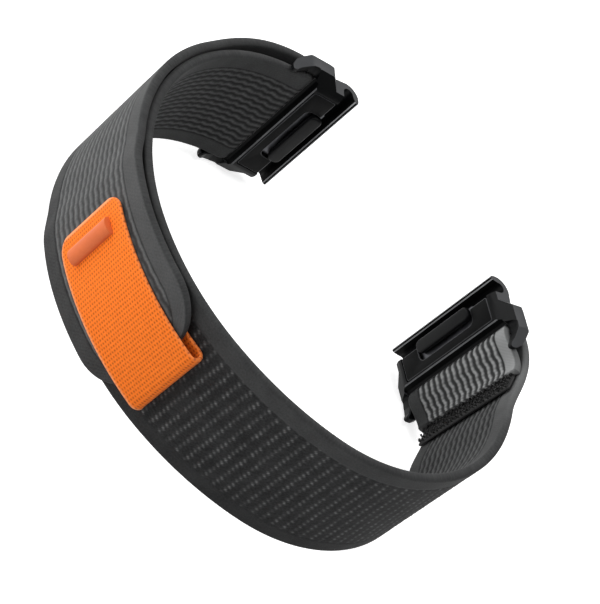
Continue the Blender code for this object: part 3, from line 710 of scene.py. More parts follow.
def lay(
    made: bpy.types.Object,
    points: np.ndarray,
    values: dict[str, np.ndarray],
    along: np.ndarray,
    across: np.ndarray,
) -> None:
    """Gives a wrapped grid its shape.

    Args:
        made: The grid's object.
        points: The place of each point.
        values: The attributes, by name.
        along: Millimetres along at each point, for the UV map.
        across: Millimetres across at each point, for the UV map.
    """
    mesh = made.data
    mesh.vertices.foreach_set("co", points.astype(np.float32).reshape(-1))
    for name, array in values.items():
        mesh.attributes.new(name, "FLOAT", "POINT").data.foreach_set("value", array.astype(np.float32))
    corner = np.empty(len(mesh.loops), dtype=np.int32)
    mesh.loops.foreach_get("vertex_index", corner)
    flat = np.stack((along.reshape(-1), across.reshape(-1)), axis=1)[corner]
    mesh.uv_layers.new(name="cloth").data.foreach_set("uv", flat.astype(np.float32).reshape(-1))
    mesh.update()
    outward_and_smooth(made)


Cloth = tuple[np.ndarray, np.ndarray, np.ndarray]


def uneven(along: np.ndarray, across: np.ndarray, seed: int) -> np.ndarray:
    """Slow variation from -1 to 1 over a cloth, in place of loose and tight yarn.

    Args:
        along: Millimetres along.
        across: Millimetres across.
        seed: Which variation.

    Returns:
        A value for each point.
    """
    total = np.zeros_like(along * across)
    for turn, drift, start in np.random.default_rng(seed).uniform(0.4, 2.6, (6, 3)):
        total += np.sin(turn * along + 3 * start) * np.cos(drift * across + 5 * start)
    return total / 3.5


def swell(turn: np.ndarray) -> np.ndarray:
    """A wave from 0 to 1."""
    return 0.5 + 0.5 * np.cos(turn)


def ridge(distance: np.ndarray, width: float) -> np.ndarray:
    """1 on a line, falling to 0 over the width on both sides."""
    return np.exp(-((distance / width) ** 2))


@dataclass(frozen=True)
class RibWeave:
    """Wavy ribs along the band between two smooth borders; lengths are in millimetres."""

    pitch: float = 1.18
    border: float = 3.0
    border_blend: float = 0.25
    groove: float = 0.18
    groove_depth: float = 0.07
    wave: float = 0.12
    wave_length: float = 2.0
    drift: float = 0.16
    relief: float = 0.13
    sharpness: float = 1.3
    border_tone: float = 0.34
    valley_tone: float = 0.04
    crest_tone: float = 0.74
    pick: float = 0.62
    twill: tuple[float, float] = (0.5, 0.7)
    seed: int = 3
    lower_share: float = 1.0
    # painted highlight: a paler upper border near the strip's start, fading out further along
    lit_border_tone: float = 0.5
    lit_from: float = 0.0
    lit_until: float = 0.0

    def __call__(self, along: np.ndarray, across: np.ndarray, half: np.ndarray) -> Cloth:
        """Weaves one face of a strip.

        Args:
            along: Millimetres along the strip.
            across: Millimetres across it, from its middle towards the upper edge.
            half: Half the strip's width in millimetres.

        Returns:
            Relief in millimetres, tone from ground to thread, and share of fleck.
        """
        loose = uneven(along, across, self.seed)
        turn = 2 * math.pi * along / self.wave_length + self.drift * across + 0.9 * loose
        phase = (across + self.wave * np.sin(turn)) / self.pitch
        crest = swell(2 * math.pi * (phase - 0.5)) ** self.sharpness
        beat = swell(turn + 0.8)
        pick = swell(2 * math.pi * (along / self.pick + 0.5 * np.round(phase - 0.5)))
        inside = half - self.border
        field_share = np.clip((inside - np.abs(across)) / self.border_blend + 0.5, 0, 1)
        groove = ridge(np.abs(across) - inside, self.groove)
        rib = crest * (0.72 + 0.16 * beat + 0.12 * pick) - 0.75
        relief = field_share * rib * self.relief - self.groove_depth * groove
        threads = crest * (0.58 + 0.16 * beat + 0.24 * pick + 0.12 * loose)
        ribs = self.valley_tone + self.crest_tone * threads
        twill = 0.03 * np.sin(2 * math.pi * (along / self.twill[0] + across / self.twill[1]))
        border = self.border_tone * np.where(across < 0, self.lower_share, 1.0) + twill + 0.03 * loose
        if self.lit_until:
            # painted highlight on the upper border, full up to the first length and gone by the second
            left = np.clip((self.lit_until - along) / (self.lit_until - self.lit_from), 0, 1)
            border = border + self.lit_border_tone * left * (across > 0)
        tone = field_share * ribs + (1 - field_share) * border
        return relief, np.clip(tone * (1 - 0.7 * groove), 0, 1), np.zeros_like(tone)


@dataclass(frozen=True)
class LoopWeave:
    """A dark field of loop pile between smooth borders, with rows of short pale floats across it.

    Lengths are in millimetres. The real loops are finer than the tufts here, which are drawn as
    coarse as they show.
    """

    row: float = 1.70
    dash: float = 0.84
    stagger: float = 0.42
    slope: float = 0.85
    stroke: tuple[float, float] = (0.22, 0.16)
    line: float = 0.18
    border: float = 2.7
    border_blend: float = 0.3
    groove: float = 0.18
    groove_depth: float = 0.05
    border_tone: float = 0.20
    lower_share: float = 0.6
    upper_share: float = 1.25
    field_tone: float = 0.07
    seed: int = 17
    pick_seed: int = 11

    def __call__(self, along: np.ndarray, across: np.ndarray, half: np.ndarray) -> Cloth:
        """Weaves one face of a strip.

        Args:
            along: Millimetres along the strip.
            across: Millimetres across it, from its middle towards the upper edge.
            half: Half the strip's width in millimetres.

        Returns:
            Relief in millimetres, tone from ground to thread, and share of fleck.
        """
        inside = half - self.border
        field_share = np.clip((inside - np.abs(across)) / self.border_blend + 0.5, 0, 1)
        loose = uneven(along, across, self.seed)
        row = np.round(along / self.row)
        start = self.stagger * (row % 2)
        column = np.round((across - start) / self.dash)
        picks = np.random.default_rng(self.pick_seed).uniform(-1, 1, (400, 64))
        pick = picks[(row.astype(int) % 400), (column.astype(int) + 32) % 64]
        across_stroke = across - start - column * self.dash + 0.06 * pick
        beside_row = along - row * self.row
        along_stroke = beside_row + 0.09 * pick - self.slope * across_stroke
        dash = ridge(across_stroke, self.stroke[0]) * ridge(along_stroke, self.stroke[1])
        line = ridge(beside_row, self.line)
        tufts = np.sin(along * 7.1 + 3 * np.sin(across * 2.3))
        tufts = tufts * np.sin(across * 8.3 + 2 * np.sin(along * 1.9))
        groove = ridge(np.abs(across) - inside, self.groove)
        relief = field_share * (0.05 * dash + 0.04 * tufts - 0.05) - self.groove_depth * groove
        pile = self.field_tone + 0.05 * tufts + 0.03 * loose
        border = np.where(across < 0, self.lower_share, self.upper_share) * self.border_tone + 0.03 * loose
        tone = field_share * pile + (1 - field_share) * border
        spots = field_share * (dash * (0.33 + 0.18 * pick + 0.16 * loose) + 0.035 * line)
        return relief, np.clip(tone, 0, 1), np.clip(spots, 0, 1)


@dataclass(frozen=True)
class OuterWeave:
    """The band's outer face: loop pile, and pale ribs on the end that is folded to the wrist side."""

    folded: float
    lower_border_tone: float = 0.3
    loops: LoopWeave = LoopWeave()
    ribs: RibWeave = RibWeave(
        pitch=1.23,
        crest_tone=0.95,
        seed=9,
        border=2.4,
        wave=0.10,
        relief=0.16,
        border_tone=0.8,
        valley_tone=0.16,
    )

    def __call__(self, along: np.ndarray, across: np.ndarray, half: np.ndarray) -> Cloth:
        """Weaves one face of a strip.

        Args:
            along: Millimetres along the strip.
            across: Millimetres across it, from its middle towards the upper edge.
            half: Half the strip's width in millimetres.

        Returns:
            Relief in millimetres, tone from ground to thread, and share of fleck.
        """
        loops = self.loops(along, across, half)
        relief, tone, _ = self.ribs(along, across, half)
        upper = across > self.ribs.border - half
        tone = np.where(upper, tone, self.lower_border_tone)
        pale = np.clip((tone - 0.4) * 1.8, 0, 1)
        near = along < self.folded
        return tuple(np.where(near, a, b) for a, b in zip((relief, tone, pale), loops))


@dataclass
class Band:
    """The woven band and its flap."""

    layout: Layout
    step: float = 0.25 * MM
    edge_round: float = 0.35 * MM
    columns: int = 155
    tip_steps: int = 36
    blend_reach: float = 2.0 * MM  # either side of the line that the flap peels at
    rim_tone: float = 0.22
    # painted highlight: how much paler the band's edges are round the right bar, and over how many points it
    # fades
    rim_highlight: float = 0.6
    rim_highlight_steps: int = 64
    ribs_round_fold: float = 0.4  # share of the fold, up to where it is hidden in the housing

    def shaded(self, folded: int, whole: int) -> list[float]:
        """Paints shade on both folds where they turn in, between the housing and the wrist side.

        Args:
            folded: How many points the folded end has.
            whole: How many points the whole cloth has.

        Returns:
            A share of light for each point.
        """
        turned_in = [
            1 - ease((turn + 54) / 12) * (1 - ease((turn + 25) / 25)) for turn in self.layout.fold_turns
        ]
        shades = [1.0] * folded + turned_in
        return shades + [1.0] * (whole - len(shades) - len(turned_in)) + turned_in

    def main_cloth(self) -> bpy.types.Object:
        """Makes the folded end, its fold, the main layer and the fold at the left bar, in one cloth.

        Returns:
            The cloth, which rides on the band.
        """
        lay_out = self.layout
        half = lay_out.thickness / 2
        right, left = lay_out.right, lay_out.left
        folded = spaced(lay_out.end_length, 0.0, self.step / 2)
        middle = [right.at(right.length - back, half + lay_out.end_lift(back)) for back in folded]
        skews = [-lay_out.end_skew / 2 * back / lay_out.end_length for back in folded]
        middle += lay_out.round_bar(right)
        for back in spaced(0.0, right.length, self.step):
            middle.append(right.at(right.length - back, half + lay_out.right_lift(back)))
        middle += [left.at(along, half) for along in spaced(0.0, left.length, self.step)[1:]]
        middle += lay_out.round_bar(left)
        skews += [0.0] * (len(middle) - len(skews))
        past_fold = len(folded) + 2 * lay_out.fold_steps - 1
        # painted highlight: the edges are paler over the folded end and the right fold, fading out past it
        rim_light = [1 - ease((i - past_fold) / self.rim_highlight_steps) for i in range(len(middle))]
        ribbed = lay_out.end_length + self.ribs_round_fold * math.pi * (lay_out.fold_radius + half)
        strip = Strip(
            "band_cloth",
            middle,
            [lay_out.width / 2] * len(middle),
            lay_out.thickness,
            self.edge_round,
            lay_out.middle,
            skews,
            shades=self.shaded(len(folded), len(middle)),
            edge_tones=[self.rim_tone + self.rim_highlight * share for share in rim_light],
            across_inner=self.columns,
            across_outer=self.columns,
            # painted highlight on its upper border near the right bar
            weave_outer=RibWeave(lit_from=16.0, lit_until=34.0),
            weave_inner=OuterWeave(ribbed / MM),
        )
        made = strip.build(Finish.WOVEN_NYLON.material())
        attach(made, "band")
        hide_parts("band_main")
        return made

    def flap_cloth(self) -> bpy.types.Object:
        """Makes the outer layer from the left bar to its round tip, over the line it peels at.

        Returns:
            The cloth, blended from the band to the flap.
        """
        lay_out = self.layout
        half = lay_out.thickness / 2
        left = lay_out.left
        tip_round = lay_out.flap_tip_round
        round_start = lay_out.flap_tip + tip_round
        turns = [math.radians(90 * i / self.tip_steps) for i in range(1, self.tip_steps + 1)]
        stations = spaced(left.length, round_start, self.step)
        stations += [round_start - tip_round * math.sin(turn) for turn in turns]
        halves = []
        for along in stations:
            share = min(max((round_start - along) / tip_round, 0.0), 1.0)
            narrow = 1 - math.sqrt(1 - share * share)
            halves.append(lay_out.width / 2 * (1 - (1 - lay_out.flap_tip_flat_share) * narrow))
        middle = [lay_out.round_bar(left)[-1]]
        middle += [left.at(along, half + lay_out.flap_lift(along)) for along in stations]
        ribs = RibWeave(
            seed=5, drift=-0.17, wave=0.09, border_tone=0.42, valley_tone=0.22, lower_share=0.55
        )
        strip = Strip(
            "flap_cloth",
            middle,
            [lay_out.width / 2, *halves],
            lay_out.thickness,
            self.edge_round,
            lay_out.middle,
            shifts=[0.0, *(lay_out.flap_shift(along) for along in stations)],
            across_inner=65,
            across_outer=self.columns,
            weave_outer=ribs,
            weave_inner=LoopWeave(),
        )
        made = strip.build(Finish.WOVEN_NYLON.material())
        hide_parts("flap_tip")
        split = lay_out.flap_split
        over = half + lay_out.flap_lift(split)
        ends = [left.at(split + side * self.blend_reach, over) for side in (1, -1)]
        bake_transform(made)
        return made

    def build(self) -> list[bpy.types.Object]:
        """Every piece of the band."""
        return [self.main_cloth(), self.flap_cloth()]


def arc(
    centre: Sequence[float], radius: float, start: float, end: float, count: int
) -> list[tuple[float, float]]:
    """Draws an arc.

    Args:
        centre: Its centre.
        radius: Its radius.
        start: Where it starts, in degrees.
        end: Where it ends, in degrees.
        count: How many steps it takes.

    Returns:
        The points, one more than its steps.
    """
    turns = [math.radians(start + (end - start) * i / count) for i in range(count + 1)]
    return [(centre[0] + radius * math.cos(a), centre[1] + radius * math.sin(a)) for a in turns]


def rounded(corners: Sequence[Sequence[float]], radius: float, count: int = 6) -> list[tuple[float, float]]:
    """Rounds an outline's corners, as far as its sides allow.

    Args:
        corners: The closed outline.
        radius: Radius of the corners.
        count: Steps round each corner.

    Returns:
        The rounded outline, count + 1 points for each corner.
    """
    out = []
    for i, corner in enumerate(corners):
        here = Vector(corner)
        to_last = Vector(corners[i - 1]) - here
        to_next = Vector(corners[(i + 1) % len(corners)]) - here
        half = to_last.angle(to_next) / 2
        reach = min(radius / math.tan(half), to_last.length * 0.48, to_next.length * 0.48)
        start = here + to_last.normalized() * reach
        end = here + to_next.normalized() * reach
        for k in range(count + 1):
            share = k / count
            point = start.lerp(here, share).lerp(here.lerp(end, share), share)
            out.append((point.x, point.y))
    return out


def edit(action: Callable[[], object]) -> None:
    """Runs one action in edit mode with everything selected.

    Args:
        action: What to do; its result isn't used.
    """
    bpy.ops.object.mode_set(mode="EDIT")
    bpy.ops.mesh.select_all(action="SELECT")
    action()
    bpy.ops.object.mode_set(mode="OBJECT")


def extruded(
    name: str, outline: Sequence[Sequence[float]], low: float, high: float, axis: str = "Z"
) -> bpy.types.Object:
    """A flat outline drawn as one face and pulled to a solid.

    Args:
        name: The piece's name.
        outline: Points of the outline.
        low: Where the solid starts along the axis.
        high: Where it ends.
        axis: "Z" for an outline in forward and outward, "Y" for one in forward and across, "X" for
            one in outward and across.

    Returns:
        The solid, with its faces outwards.
    """
    bpy.ops.object.select_all(action="DESELECT")
    bpy.ops.mesh.primitive_circle_add(vertices=len(outline), radius=1.0, fill_type="NGON")
    made = bpy.context.object
    made.name = name
    made.data.name = name
    at = "XYZ".index(axis)
    for vertex, (a, b) in zip(made.data.vertices, outline):
        vertex.co = [(low, a, b), (a, low, b), (a, b, low)][at]
    move = [high - low if i == at else 0.0 for i in range(3)]
    edit(lambda: bpy.ops.mesh.extrude_region_move(TRANSFORM_OT_translate={"value": move}))
    edit(lambda: bpy.ops.mesh.normals_make_consistent(inside=False))
    return made


def box(name: str, x: Sequence[float], y: Sequence[float], z: Sequence[float]) -> bpy.types.Object:
    """A block between pairs of limits."""
    outline = [(x[0], y[0]), (x[1], y[0]), (x[1], y[1]), (x[0], y[1])]
    return extruded(name, outline, z[0], z[1])


def apply_modifier(target: bpy.types.Object, kind: str, **settings: object) -> None:
    """Adds a modifier and applies it.

    Args:
        target: The piece.
        kind: The modifier's type.
        settings: Its settings.
    """
    only(target)
    change = target.modifiers.new(kind.lower(), kind)
    for key, value in settings.items():
        setattr(change, key, value)
    bpy.ops.object.modifier_apply(modifier=change.name)


def combine(target: bpy.types.Object, tool: bpy.types.Object, operation: str) -> None:
    """Joins or cuts with a tool, which is then removed.

    Args:
        target: The piece that stays.
        tool: The solid that is joined to it or cut out of it.
        operation: "UNION" or "DIFFERENCE".
    """
    apply_modifier(target, "BOOLEAN", operation=operation, solver="EXACT", object=tool)
    bpy.data.objects.remove(tool, do_unlink=True)


def soften(
    target: bpy.types.Object, width: float, turn: float = 35.0, segments: int = 3, edge: int = -1
) -> None:
    """Breaks sharp edges and shades the rest smooth.

    Args:
        target: The piece.
        width: How wide the broken edge is.
        turn: Edges that turn more than these degrees are broken.
        segments: Steps round the edge.
        edge: Which of the piece's materials the broken edges get; -1 leaves it.
    """
    only(target)
    edit(lambda: bpy.ops.mesh.remove_doubles(threshold=0.004 * MM))
    edit(lambda: bpy.ops.mesh.dissolve_limited(angle_limit=math.radians(0.5)))
    apply_modifier(
        target,
        "BEVEL",
        width=width,
        segments=segments,
        limit_method="ANGLE",
        angle_limit=math.radians(turn),
        miter_outer="MITER_ARC",
        use_clamp_overlap=True,
        material=edge,
    )
    only(target)
    bpy.ops.object.shade_smooth_by_angle(angle=math.radians(30.0))


def paint(target: bpy.types.Object, *finishes: Finish) -> None:
    """Gives a piece its materials, in order."""
    for finish in finishes:
        target.data.materials.append(finish.material())


@dataclass
class HookTape:
    """Black tape with rows of small moulded hooks on the wrist side of its base."""

    name: str
    stands_for: str
    body: str
    middle: list[np.ndarray]
    half: float
    thickness: float
    height: float
    base_share: float = 0.5
    pitch: float = 0.85 * MM  # real hooks stand closer; drawn as coarse as they show
    ahead: float = -0.35 * MM  # how far the hooks reach past the tape's front
    skew: float = 0.0
    shift: float = 0.0
    inset: tuple[float, float] = (0.35 * MM, 0.4 * MM)  # of the hooks from the tape's end and sides
    jitter: float = 0.12 * MM
    lean: float = 0.5
    seed: int = 4

    def hook(self) -> bpy.types.Object:
        """Makes one flat moulded hook.

        Returns:
            The hook, foot at the origin, tip ahead.
        """
        tall = self.thickness * (1 - self.base_share)
        stem = [(-0.16, -0.2), (0.16, -0.2), (0.13, 0.5)]
        shape = [*stem, (0.35, 0.75), (0.55, 0.55), (0.62, 0.7), (0.4, 1.0), (0.0, 0.9)]
        wide = max(0.3 * tall, 0.07 * MM)
        return extruded("hook", [(a * tall, b * tall) for a, b in shape], -wide, wide)

    def build(self) -> list[bpy.types.Object]:
        """Makes the base with its hooks.

        Returns:
            One piece.
        """
        base_thick = self.thickness * self.base_share
        centre = np.array(self.middle)
        ahead, out, lengths = follow(centre)
        skews = [self.skew] * len(self.middle)
        shifts = [self.shift] * len(self.middle)
        line = [c + n * (self.thickness - base_thick) / 2 for c, n in zip(centre, out)]
        tape = Strip(
            self.name, line, [self.half] * len(line), base_thick, base_thick * 0.4, self.height, skews, shifts
        )
        tape.across_inner = tape.across_outer = 9
        made = tape.build(Finish.MOULDED_NYLON.material())
        one = self.hook()
        paint(one, Finish.MOULDED_NYLON)
        rng = np.random.default_rng(self.seed)
        rows = spaced(self.inset[0], lengths[-1] + self.ahead, self.pitch)
        columns = spaced(-self.half + self.inset[1], self.half - self.inset[1], self.pitch)
        copies = []
        for along, across in ((row, column) for row in rows for column in columns):
            along_here = along + rng.uniform(-1, 1) * self.jitter
            across_here = across + rng.uniform(-1, 1) * self.jitter
            place = [np.interp(along_here, lengths, part) for part in (*centre.T, *ahead.T)]
            forward = Vector((place[2], place[3], 0.0)).normalized()
            inward = Vector((-forward.y, forward.x, 0.0))
            foot = Vector((place[0], place[1], 0.0)) + forward * (self.skew * across_here / self.half)
            foot += inward * (base_thick - self.thickness / 2)
            turn = Matrix((forward, inward, Vector((0.0, 0.0, 1.0)))).transposed().to_4x4()
            turn.translation = (foot.x, foot.y, self.height + self.shift + across_here)
            lean = rng.uniform(-self.lean, self.lean) + math.pi * rng.integers(0, 2)
            copy = one.copy()
            copy.data = one.data.copy()
            copy.data.transform(turn @ Matrix.Rotation(lean, 4, "Y"))
            bpy.context.scene.collection.objects.link(copy)
            copies.append(copy)
        bpy.data.objects.remove(one, do_unlink=True)
        only(made)
        for copy in copies:
            copy.select_set(True)
        bpy.ops.object.join()
        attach(made, self.body)
        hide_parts(self.stands_for)
        return [made]


def hook_tapes(layout: Layout) -> list[HookTape]:
    """Lays out the two pieces of hook tape.

    Args:
        layout: The band's layers.

    Returns:
        The tape that finishes the folded end, and the patch under the flap.
    """
    step, patch_step = 0.6 * MM, 1.0 * MM
    right, left = layout.right, layout.left
    start = layout.end_length + layout.gap
    half = layout.thickness / 2
    backs = spaced(start + layout.end_strip, start, step)
    end_line = [right.at(right.length - back, half + layout.end_lift(back)) for back in backs]
    low = layout.flap_tip + layout.patch_from_tip + layout.tab_under / 2
    lift = layout.thickness + layout.gap + layout.patch_thickness / 2
    patch_line = [left.at(along, lift) for along in spaced(low + layout.patch_length, low, patch_step)]
    end_half = layout.width / 2 - layout.end_strip_inset
    end_thick = layout.thickness - 2 * layout.gap
    return [
        HookTape(
            "end_hooks",
            "end_hook_strip",
            "band",
            end_line,
            end_half,
            end_thick,
            layout.middle,
            ahead=0.5 * MM,
            skew=-layout.end_skew / 2,
        ),
        HookTape(
            "patch_hooks",
            "flap_hook_patch",
            "flap",
            patch_line,
            layout.patch_width / 2,
            layout.patch_thickness,
            layout.middle,
            pitch=1.2 * MM,
            shift=layout.flap_shift_top,
        ),
    ]


@dataclass
class PullTab:
    """Orange webbing over the flap, its hollow fold and its moulded bar."""

    layout: Layout
    step: float = 0.3 * MM
    edge_round: float = 0.25 * MM
    corner_steps: int = 10
    fold_steps: int = 20
    columns: int = 61
    edge_tone: float = 0.12
    bead_edge: float = 0.14 * MM
    bead_foot: float = 0.1 * MM

    def webbing(self) -> bpy.types.Object:
        """Makes the tab from its top edge, round the fold, to under the flap.

        Returns:
            The webbing, which rides on the flap.
        """
        lay_out = self.layout
        left = lay_out.left
        over, under = lay_out.tab_offsets()
        top = lay_out.tab_fold + lay_out.tab_length
        turns = [math.radians(90 * i / self.corner_steps) for i in range(self.corner_steps + 1)]
        stations = [top - lay_out.tab_corner * (1 - math.cos(a)) for a in turns]
        halves = [lay_out.tab_width / 2 - lay_out.tab_corner * (1 - math.sin(a)) for a in turns]
        more = spaced(top - lay_out.tab_corner, lay_out.tab_fold, self.step)[1:]
        middle = [left.at(along, over) for along in stations + more]
        forward, outward = left.directions(lay_out.tab_fold)
        centre = left.at(lay_out.tab_fold, (over + under) / 2)
        radius = (over - under) / 2
        for i in range(1, self.fold_steps):
            angle = math.pi * i / self.fold_steps
            middle.append(centre + radius * (outward * math.cos(angle) - forward * math.sin(angle)))
        below = spaced(lay_out.tab_fold, lay_out.flap_tip + lay_out.tab_under, self.step)
        middle += [left.at(along, under) for along in below]
        shifts = [lay_out.tab_shift(along) for along in stations + more]
        shifts += [0.0] * (len(middle) - len(shifts))
        halves += [lay_out.tab_width / 2] * (len(middle) - len(halves))
        strip = Strip(
            "tab_webbing",
            middle,
            halves,
            lay_out.tab_thickness,
            self.edge_round,
            lay_out.middle,
            shifts=shifts,
            across_inner=self.columns,
            across_outer=self.columns,
            weave_outer=selvedge,
            weave_inner=selvedge,
            edge_tone=self.edge_tone,
        )
        made = strip.build(Finish.POLYESTER_WEBBING.material())
        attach(made, "flap")
        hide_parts("pull_tab")
        return made

    def grip(self) -> bpy.types.Object:
        """Moulds the bar across the tab's top: half round, with nearly square ends.

        Returns:
            The bar, which rides on the flap.
        """
        lay_out = self.layout
        along = lay_out.tab_fold + lay_out.tab_length - lay_out.bead_from_top
        forward, outward = lay_out.left.directions(along)
        foot = lay_out.left.at(along, lay_out.tab_offsets()[0] + lay_out.tab_thickness / 2)
        half = lay_out.bead_width / 2
        tall = lay_out.bead_height + lay_out.gap
        turns = [math.radians(180 * i / 20) for i in range(21)]
        section = [(half * math.cos(a), tall * math.sin(a) ** 0.8) for a in turns]
        section += [(-half, -self.bead_foot), (half, -self.bead_foot)]
        long = lay_out.bead_length / 2
        made = extruded("tab_bar", section, -long, long)
        paint(made, Finish.MOULDED_RUBBER)
        soften(made, self.bead_edge, 50.0)
        x = Vector((forward[0], forward[1], 0.0))
        y = Vector((outward[0], outward[1], 0.0))
        turn = Matrix((x, y, x.cross(y))).transposed().to_4x4()
        turn.translation = (foot[0], foot[1], lay_out.middle + lay_out.tab_shift(along))
        made.data.transform(turn)
        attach(made, "flap")
        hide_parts("tab_bead")
        return made

    def build(self) -> list[bpy.types.Object]:
        """Every piece of the tab."""
        return [self.webbing(), self.grip()]


def selvedge(along: np.ndarray, across: np.ndarray, half: np.ndarray) -> Cloth:
    """Weaves a thicker pale thread along the webbing's lower edge and across its top.

    Args:
        along: Millimetres along the webbing.
        across: Millimetres across it, from its middle towards the upper edge.
        half: Half its width in millimetres.

    Returns:
        Relief in millimetres, tone from ground to thread, and share of fleck.
    """
    cord = np.maximum(ridge(half + across - 0.22, 0.2), ridge(along - 0.2, 0.22))
    beat = 0.5 + 0.5 * np.sin(2 * math.pi * along / 0.6)
    far = ridge(half - across - 0.1, 0.15)
    return 0.05 * cord, cord * (0.45 + 0.15 * beat) + 0.15 * far * beat, np.zeros_like(cord)


@dataclass(frozen=True)
class Sizes:
    """Connector sizes, from the spring bar's axis: forward to the watch, outward from the wrist."""

    to_lip: float = 10.0 * MM
    hook_radius: float = 2.4 * MM
    hook_tip_turn: float = 20.0
    hook_back: float = 2.1 * MM
    hook_below: float = 1.6 * MM
    lip: float = 0.65 * MM
    lip_edge: float = 0.17 * MM
    channel: float = 1.8 * MM
    channel_below: float = 0.2 * MM
    shoulder: float = 0.5 * MM
    rear: float = 2.3 * MM
    face: float = 2.8 * MM
    groove: float = 0.45 * MM
    groove_depth: float = 0.95 * MM
    sill: float = 0.45 * MM
    top_rear: float = 0.7 * MM
    body_half: float = 11.35 * MM
    chamfer: float = 2.7 * MM
    chamfer_rise: float = 1.4 * MM
    bar_radius: float = 0.85 * MM
    wall: float = 2.8 * MM
    ear_half: float = 13.0 * MM
    ear_inner: float = 11.15 * MM
    ear_front: float = 5.9 * MM
    ear_rear: float = 2.9 * MM
    ear_top: float = 0.9 * MM
    ear_drop: float = 3.1 * MM
    ear_round: float = 0.7 * MM
    ear_edge: float = 0.3 * MM
    ear_tail_start: float = 0.5 * MM
    ear_tail_narrowing: float = 1.1 * MM
    fit: float = 0.15 * MM
    front_wall: float = 0.7 * MM
    pocket_rear: float = 3.3 * MM
    pocket_half: float = 8.6 * MM
    pocket_top: float = 0.6 * MM
    rear_rim: float = 0.7 * MM
    side_rim: float = 0.5 * MM
    cover: float = 0.5 * MM
    tooth: float = 2.5 * MM
    tooth_pitch: float = 9.5 * MM
    tooth_depth: float = 0.7 * MM
    latch_depth: float = 1.1 * MM
    button_length: float = 11.6 * MM
    button_width: float = 2.2 * MM
    button_proud: float = 0.5 * MM
    button_over: float = 0.6 * MM
    travel: float = 0.9 * MM
    tube_half: float = 10.7 * MM
    tip_radius: float = 0.35 * MM
    tip_into_ear: float = 1.2 * MM
    tip_travel: float = 1.3 * MM
    slide: float = 0.2 * MM
    latch_length: float = 2.1 * MM
    spring_seat: float = 1.1 * MM
    spring_radius: float = 0.5 * MM
    spring_pitch: float = 14.0 * MM
    wire: float = 0.1 * MM
    edge: float = 0.14 * MM
    steel_edge: float = 0.12 * MM
    button_edge: float = 0.3 * MM
    clear: float = 0.2 * MM
    step_round: float = 0.2 * MM
    recess_round: float = 0.5 * MM
    cover_round: float = 0.4 * MM
    pin_inside: float = 1.8 * MM
    overrun: float = 1.0 * MM

    @property
    def front(self) -> float:
        """Where the body's front face stands."""
        return self.to_lip - self.lip - self.channel - self.fit

    @property
    def floor(self) -> float:
        """Floor of the recess that the cover lies in."""
        return -self.face + self.cover + self.fit

    @property
    def tooth_low(self) -> float:
        """Wrist side of the latch's teeth."""
        return self.floor + self.fit / 2 + (self.latch_depth - self.tooth_depth) / 2


def coil(name: str, radius: float, wire: float, start: float, end: float, turns: int) -> bpy.types.Object:
    """A closed-ended coil along the across direction.

    Args:
        name: The piece's name.
        radius: Outer radius of the coil.
        wire: Radius of the wire.
        start: Where the wire's middle starts.
        end: Where it ends.
        turns: How many turns it makes.

    Returns:
        The coil, as one tube.
    """
    count = turns * 14
    made = wrapped_grid(name, count + 1, 6)
    turn = np.linspace(0.0, 2 * math.pi * turns, count + 1)[:, None]
    ring = np.linspace(0.0, 2 * math.pi, 7)[None, :-1]
    reach = radius - wire + wire * np.cos(ring)
    height = np.linspace(start, end, count + 1)[:, None] + wire * np.sin(ring)
    points = np.stack((reach * np.cos(turn), reach * np.sin(turn), height), axis=2)
    made.data.vertices.foreach_set("co", points.astype(np.float32).reshape(-1))
    made.data.update()
    outward_and_smooth(made)
    return made


